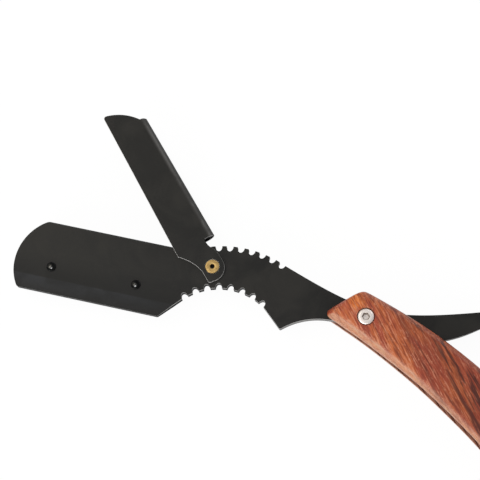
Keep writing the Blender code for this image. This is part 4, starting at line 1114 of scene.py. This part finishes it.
def rosewood():
    """Oiled rosewood: orange to red-brown, streaked lengthwise, veined darker towards the far side, with a
    pale painted sheen on its near edges.
    """
    material, tree, shader = shader_tree("oiled_rosewood")
    x, y, z = parted(surface_point(tree, GRAIN_TURN, centre=pivot))
    sway = noise(surface_point(tree, GRAIN_TURN, (0.022, 0.011, 0.011)))
    bent = joined(x, reckon("MULTIPLY_ADD", sway, GRAIN_SWAY, y), z)

    def grain(length, width, *texture):
        """Noise drawn out along the swaying grain."""
        return noise(vector_sum("MULTIPLY", bent, (1 / length, 1 / width, 1 / width)), *texture)

    broad = grain(0.026, 0.0048, 3.0, 0.55, 0.5)
    streaks = grain(0.018, 0.0013, 3.0, 0.6, 0.3)
    fibres = grain(0.0065, 0.00052, 3.0, 0.7)
    veins = grain(0.030, 0.0024, 4.0, 0.6, 0.4)
    flecks = noise(surface_point(tree, GRAIN_TURN, (0.0018, 0.0006, 0.0006)), 3.0, 0.7)
    deep = ranged(y, 0.000, 0.024)
    glow = times(ranged(y, -0.0050, -0.0015), ranged(y, 0.0040, 0.0010), ranged(x, -0.002, -0.0055),
                 ranged(flecks, 0.35, 0.60, 0.3, 0.9))
    pale = between(deep, 0.70, 0.30)
    # a pale painted sheen on the surfaces that face the near side and its lamps
    painted_sheen = times(near_side(tree, NEAR_START, SHEEN_FULL), ranged(streaks, 0.38, 0.62, 0.90, 0.40))
    colour = layered(
        mixed(ranged(broad, 0.42, 0.58), WOOD_RED, WOOD_WARM),
        (glow, WOOD_ORANGE),
        (ranged(deep, 0.0, 0.5, 0.0, 0.40), WOOD_DARK),
        (ranged(streaks, 0.50, 0.62, 0.0, 0.55), WOOD_DARK),
        (ranged(fibres, 0.50, 0.62, 0.0, 0.70), WOOD_DARK),
        (times(ranged(fibres, 0.48, 0.34), pale), WOOD_PALE),
        (times(ranged(flecks, 0.56, 0.70), pale), WOOD_PALE),
        (times(ranged(veins, 0.51, 0.61), between(deep, 0.2, 0.90)), WOOD_BLACK),
        (painted_sheen, WOOD_PAINTED_SHEEN))
    dress(shader, fibres, 0.30, 0.00005, Base_Color=colour, Specular_IOR_Level=WOOD_GLOSS,
          Roughness=ranged(streaks, 0.3, 0.7, 0.36, 0.48))
    return material


def inside_wood():
    """The scales' sawn inner faces: the same wood, dull, and dark as painted shade of the narrow gap
    between the scales.
    """
    material, tree, shader = shader_tree("dark_inside_wood")
    grain = noise(surface_point(tree, INSIDE_GRAIN_TURN, (0.012, 0.0006, 0.0006)), 4.0, 0.65)
    dress(shader, grain, 0.3, 0.00006, Base_Color=mixed(ranged(grain, 0.4, 0.65), INSIDE_BROWN, WOOD_BLACK),
          Roughness=ranged(grain, 0.3, 0.7, 0.6, 0.8), Specular_IOR_Level=INSIDE_GLOSS)
    return material


inside_shade = inside_wood()
oiled_rosewood = rosewood()
end_place = handle_point(HANDLE_REACH - END_SCREW_FROM_END, 0.0)
recess_floor = plate_half + SEAT_GAP + WASHER_THICKNESS + SEAT_GAP
below = pivot_inner - CUT_OVERRUN
above = head_level + CUT_OVERRUN
bore = POST_RADIUS + SEAT_GAP
recess = WASHER_RADIUS + SEAT_GAP
head_room = HEAD_RADIUS + HEAD_ROOM
head_bore = [(bore, head_seat), (head_room, head_seat), (head_room, above), (0.0, above)]
pivot_bore = [(0.0, below), (recess, below), (recess, recess_floor), (bore, recess_floor)] + head_bore
end_bore = [(0.0, below), (bore, below)] + head_bore
for name, node, side in (("handle_scale_front", "scale_front", 1), ("handle_scale_back", "scale_back", -1)):
    bm = bmesh.new()
    inner, outer = [], []
    for along in scale_stations():
        rows = station_points(along, side)
        inner.append([bm.verts.new((x, y, low)) for x, y, low, high in rows])
        outer.append([bm.verts.new((x, y, high)) for x, y, low, high in rows])
    last_row = len(inner[0]) - 1
    for i in range(len(inner) - 1):
        for j in range(last_row):
            for material, sheet in ((1, inner), (0, outer)):
                face = bm.faces.new((sheet[i][j], sheet[i + 1][j], sheet[i + 1][j + 1], sheet[i][j + 1]))
                face.material_index = material
        for j in (0, last_row):
            bm.faces.new((inner[i][j], inner[i + 1][j], outer[i + 1][j], outer[i][j]))
    for i in (0, -1):
        for j in range(last_row):
            bm.faces.new((inner[i][j], inner[i][j + 1], outer[i][j + 1], outer[i][j]))
    scale = solid(name, bm, oiled_rosewood, inside_shade)
    for place, profile in (((0.0, 0.0), pivot_bore), (end_place, end_bore)):
        profile = [(radius, side * level) for radius, level in profile][::side]
        cut(scale, turned(name + "_bore", profile, [place], oiled_rosewood))
    settle(scale, handle_space, sharp_angle=35.0)
    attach(scale, "handle")
    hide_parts(node)

# End spacer
# A block of black vulcanised fibre that holds the scales apart at the far end, held by the end screw.
# It is sawn to the handle's outline, a little inside it, and hollowed in front.
SPACER_LENGTH = 0.016
SPACER_INSET = 0.0012
SPACER_HOLLOW = 0.0022
SPACER_STEPS = 30
FIBRE_BLACK = (0.020, 0.0185, 0.017, 1.0)
FIBRE_GREY = (0.050, 0.046, 0.042, 1.0)


def spacer_outline():
    """The block inside the handle's outline, with a hollowed front."""
    start = HANDLE_REACH - SPACER_LENGTH
    end = HANDLE_REACH - SPACER_INSET
    lower, upper = [], []
    for i in range(SPACER_STEPS + 1):
        along = start + (end - start) * math.sin(math.pi / 2 * i / SPACER_STEPS)
        down, up = (edge_reach(min(along + SPACER_INSET, HANDLE_REACH), edge) - SPACER_INSET
                    for edge in (LOWER_EDGE, UPPER_EDGE))
        if min(down, up) > 0.0:
            lower.append(handle_point(along, -down))
            upper.append(handle_point(along, up))
    lower.append(handle_point(end, 0.0))
    top, bottom = Vector(upper[0]), Vector(lower[0])
    inwards = Vector(handle_point(start + SPACER_HOLLOW, 0)) - Vector(handle_point(start, 0))
    shares = [i / SPACER_STEPS for i in range(1, SPACER_STEPS)]
    front = [tuple(top.lerp(bottom, share) + inwards * math.sin(math.pi * share)) for share in shares]
    return lower + upper[::-1] + front


def vulcanised_fibre():
    """Black fibre board: matt, with pressed layers and paler flecks."""
    material, tree, shader = shader_tree("vulcanised_fibre")
    layers = noise(surface_point(tree, stretch=(0.004, 0.004, 0.0003)), 3.0, 0.6)
    flecks = noise(surface_point(tree, stretch=(0.0006, 0.0006, 0.0002)), 3.0, 0.6)
    shade = times(ranged(layers, 0.4, 0.65), ranged(flecks, 0.4, 0.7, 0.2, 1.0))
    dress(shader, flecks, 0.3, 0.00003, Base_Color=mixed(shade, FIBRE_BLACK, FIBRE_GREY),
          Roughness=ranged(flecks, 0.3, 0.7, 0.55, 0.70))
    return material


spacer_half = belly_inner - SEAT_GAP
spacer = prism("spacer_block", spacer_outline(), -spacer_half, spacer_half, vulcanised_fibre())
drill(spacer, end_place, bore, -spacer_half - CUT_OVERRUN, spacer_half + CUT_OVERRUN)
break_edges(spacer, RIM_BREAK)
settle(spacer, handle_space)
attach(spacer, "handle")
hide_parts("end_spacer")

# Pivot and end screws
# Two turned steel button screws with hex sockets, which enter their posts from the front.
# The heads lie in counterbores of the front scale and are polished to a soft shine.
HEAD_RIM_HEIGHT = 0.0006
HEAD_FLAT_RADIUS = 0.0019
HEX_ACROSS_FLATS = 0.0025
HEX_DEPTH = 0.0013
POST_WEB = 0.0013
SCREW_RADIUS = 0.00125
SCREW_SHORT_OF_BORE = 0.0006
SCREW_EDGE_BREAK = 0.00012
HEX_EDGE_BREAK = 0.00010
HEX_FLOOR_ROUND = 0.0004
HEX_TURN = 32.0
HEAD_TURN_STEPS = 72
WALL_NORMAL = 0.9  # a face of the socket whose normal rises less is a wall
# the socket walls' colour, darkened as painted shade
SOCKET_SHADE = (0.48, 0.42, 0.38, 1.0)


def turned_steel():
    """Bright steel turned on a lathe: fine rings and a cloud of handling."""
    material, tree, shader = shader_tree("turned_steel")
    place = own_place(tree)
    rings = rings_on(place, 0.00014)
    grey = times(marks_on(place, 0.0022, 0.002, 0.0001)[0], ranged(rings, 0.3, 0.7, 0.25, 0.75))
    dress(shader, rings, 0.06, 0.00001, Base_Color=mixed(grey, STEEL_BRIGHT, STEEL_GREY), Metallic=1.0,
          Roughness=ranged(rings, 0.3, 0.7, 0.44, 0.52))
    return material


def socket_steel():
    """The walls of a hex socket, darkened as painted shade, with traces of oil."""
    material, tree, shader = shader_tree("socket_steel")
    smudge, tooth = marks_on(surface_point(tree), 0.0008, 0.001, 0.0001)[::2]
    dress(shader, Base_Color=mixed(smudge, SOCKET_SHADE, STEEL_GREY, "MULTIPLY"), Metallic=0.6,
          Roughness=ranged(tooth, 0.3, 0.7, 0.45, 0.6))
    return material


bright_turned_steel = turned_steel()
socket_walls_shade = socket_steel()
screw_seat = head_seat + SEAT_GAP
screw_tip = -screw_seat + POST_WEB + SCREW_SHORT_OF_BORE
screw_profile = [(0.0, screw_tip), (SCREW_RADIUS - SCREW_EDGE_BREAK, screw_tip),
                 (SCREW_RADIUS, screw_tip + SCREW_EDGE_BREAK), (SCREW_RADIUS, screw_seat),
                 (HEAD_RADIUS - SCREW_EDGE_BREAK, screw_seat), (HEAD_RADIUS, screw_seat + SCREW_EDGE_BREAK)]
screw_profile += dome(HEAD_FLAT_RADIUS, HEAD_RADIUS, screw_seat + HEAD_RIM_HEIGHT, head_level, 16)
screw_profile.append((0.0, head_level))
screw_places = ((0.0, 0.0), end_place)
screws = turned("button_screws", screw_profile, screw_places, bright_turned_steel, HEAD_TURN_STEPS)
screws.data.materials.append(socket_walls_shade)
hex_radius = HEX_ACROSS_FLATS / 2 / math.cos(math.pi / 6)
hex_floor = head_level - HEX_DEPTH
hex_levels = ((-HEX_FLOOR_ROUND, hex_floor), (0.0, hex_floor + HEX_FLOOR_ROUND),
              (0.0, head_level - HEX_EDGE_BREAK), (HEX_EDGE_BREAK * 2, head_level + HEX_EDGE_BREAK))
for place in screw_places:
    socket = loft("hex_socket", [
        [(x, y, level) for x, y in arc(place, hex_radius + flare, HEX_TURN, HEX_TURN + 300.0, 5)]
        for flare, level in hex_levels], bright_turned_steel, socket_walls_shade)
    # the socket's walls take the painted shade
    for face in socket.data.polygons:
        face.material_index = 1 if abs(face.normal.z) < WALL_NORMAL else 0
    cut(screws, socket)
settle(screws, handle_space)
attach(screws, "handle")
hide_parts("pivot_screw", "end_screw")

# Pivot and end posts
# Two turned steel posts with flat heads, entered from the back; each is bored for its screw.
# The pivot post is the shaft that the holder turns on, and the flat heads carry the razor at rest.
HEAD_EDGE_BREAK = 0.0003

post_top = screw_seat - SEAT_GAP * 2
bore_radius = SCREW_RADIUS + SEAT_GAP
bore_end = -screw_seat + POST_WEB
post_profile = [(0.0, -head_level)]
post_profile += lip(HEAD_RADIUS - HEAD_EDGE_BREAK, HEAD_EDGE_BREAK - head_level, 270.0, HEAD_EDGE_BREAK)
post_profile += [(HEAD_RADIUS, -screw_seat), (POST_RADIUS, -screw_seat), (POST_RADIUS, post_top),
                 (bore_radius, post_top), (bore_radius, bore_end), (0.0, bore_end)]
posts = turned("flat_posts", post_profile, screw_places, bright_turned_steel, HEAD_TURN_STEPS)
break_edges(posts, SCREW_EDGE_BREAK / 2, angle=60.0)
settle(posts, handle_space)
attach(posts, "handle")
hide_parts("pivot_post", "end_post")

# Studio
# A wide white table under a pale sky that is brighter towards its rim, with five soft lamps.
# The camera looks down on the razor, a little from below it in the picture and from its right.
TABLE_REACH = 3.0
TABLE_LEVEL = -0.00005
TABLE_STEPS = 48
TABLE_WHITE = (0.92, 0.92, 0.92, 1.0)
TABLE_OWN_LIGHT = (0.955, 1.0)  # share that shows as plain white, under the razor and far from it
TABLE_SHADE_REACH = (0.20, 0.60)
SKY_TOP = 0.56
SKY_RIM = 0.95
LAMPS = (  # name, place, width, depth, power, colour
    ("overhead_lamp", (-0.21, 0.00, 0.70), 0.13, 0.13, 0.50, (1.0, 1.0, 1.0)),
    ("toe_lamp", (-0.44, 0.26, 0.60), 0.40, 0.40, 1.4, (1.0, 0.94, 0.80)),
    ("left_lamp", (-0.62, -0.64, 0.40), 0.50, 0.42, 4.0, (1.0, 1.0, 1.0)),
    ("low_lamp", (-0.20, -0.90, 0.26), 0.80, 0.22, 5.2, (1.0, 0.98, 0.94)),
    ("side_lamp", (0.40, 0.48, 0.36), 0.45, 0.30, 0.9, (1.0, 1.0, 1.0)),
)
CAMERA_TARGET = Vector((-0.046017, 0.030176, 0.0069))
CAMERA_PLACE = Vector((-0.008123, -0.104824, 0.480583))
CAMERA_ROLL = -0.04  # degrees
CAMERA_LENS = 100.37
CAMERA_SENSOR = 36.0
CAMERA_CLIP = 0.01

table_white, tree, shader = shader_tree("table_white")
dress(shader, Base_Color=TABLE_WHITE, Roughness=1.0, Specular_IOR_Level=0.0)
rays = tree.nodes.new("ShaderNodeLightPath").outputs
seen = reckon("MAXIMUM", rays["Is Camera Ray"],
              reckon("MAXIMUM", rays["Is Glossy Ray"], rays["Is Transmission Ray"]))
share = ranged(length(surface_point(tree)), *TABLE_SHADE_REACH, *TABLE_OWN_LIGHT)
lit = add_node(tree, "ShaderNodeMixShader", (
    times(seen, share), shader, tree.nodes.new("ShaderNodeEmission")))
# clear from below, so that the razor's back can be looked at
underneath = reckon("LESS_THAN", parted(coordinate(tree, "Normal"))[2], 0.5)
backfacing = tree.nodes.new("ShaderNodeNewGeometry").outputs["Backfacing"]
sided = add_node(tree, "ShaderNodeMixShader", (
    reckon("MAXIMUM", underneath, backfacing), lit, tree.nodes.new("ShaderNodeBsdfTransparent")))
feed(tree.nodes["Material Output"].inputs["Surface"], sided)
table = prism("table", circle((0.0, 0.0), TABLE_REACH, TABLE_STEPS),
              TABLE_LEVEL - CUT_OVERRUN, TABLE_LEVEL, table_white)

world = bpy.data.worlds.new("sky")
world.use_nodes = True
bpy.context.scene.world = world
tree = world.node_tree
light = ranged(parted(coordinate(tree, "Generated"))[2], 0.0, 1.0, SKY_RIM, SKY_TOP)
is_camera = tree.nodes.new("ShaderNodeLightPath").outputs["Is Camera Ray"]
dress(tree.nodes["Background"], Color=(1.0, 1.0, 1.0, 1.0), Strength=reckon("MAXIMUM", is_camera, light))

for name, place, width, depth, power, colour in LAMPS:
    lamp = bpy.data.lights.new(name, "AREA")
    lamp.shape = "RECTANGLE"
    lamp.size = width
    lamp.size_y = depth
    lamp.energy = power
    lamp.color = colour
    stand = new_object(name, lamp)
    stand.location = place
    stand.rotation_euler = (Vector(place) - CAMERA_TARGET).to_track_quat("Z", "Y").to_euler()

lens = bpy.data.cameras.new("camera")
lens.lens = CAMERA_LENS
lens.sensor_width = CAMERA_SENSOR
lens.clip_start = CAMERA_CLIP
camera = new_object("camera", lens)
back = (CAMERA_PLACE - CAMERA_TARGET).normalized()
right = (Vector((1.0, 0.0, 0.0)) - back * back.x).normalized()
turn = Matrix((right, back.cross(right), back)).transposed().to_4x4()
camera.matrix_world = Matrix.Translation(CAMERA_PLACE) @ turn @ turned_space((0, 0, 0), CAMERA_ROLL)
bpy.context.scene.camera = camera
bpy.context.scene.view_settings.view_transform = "Standard"
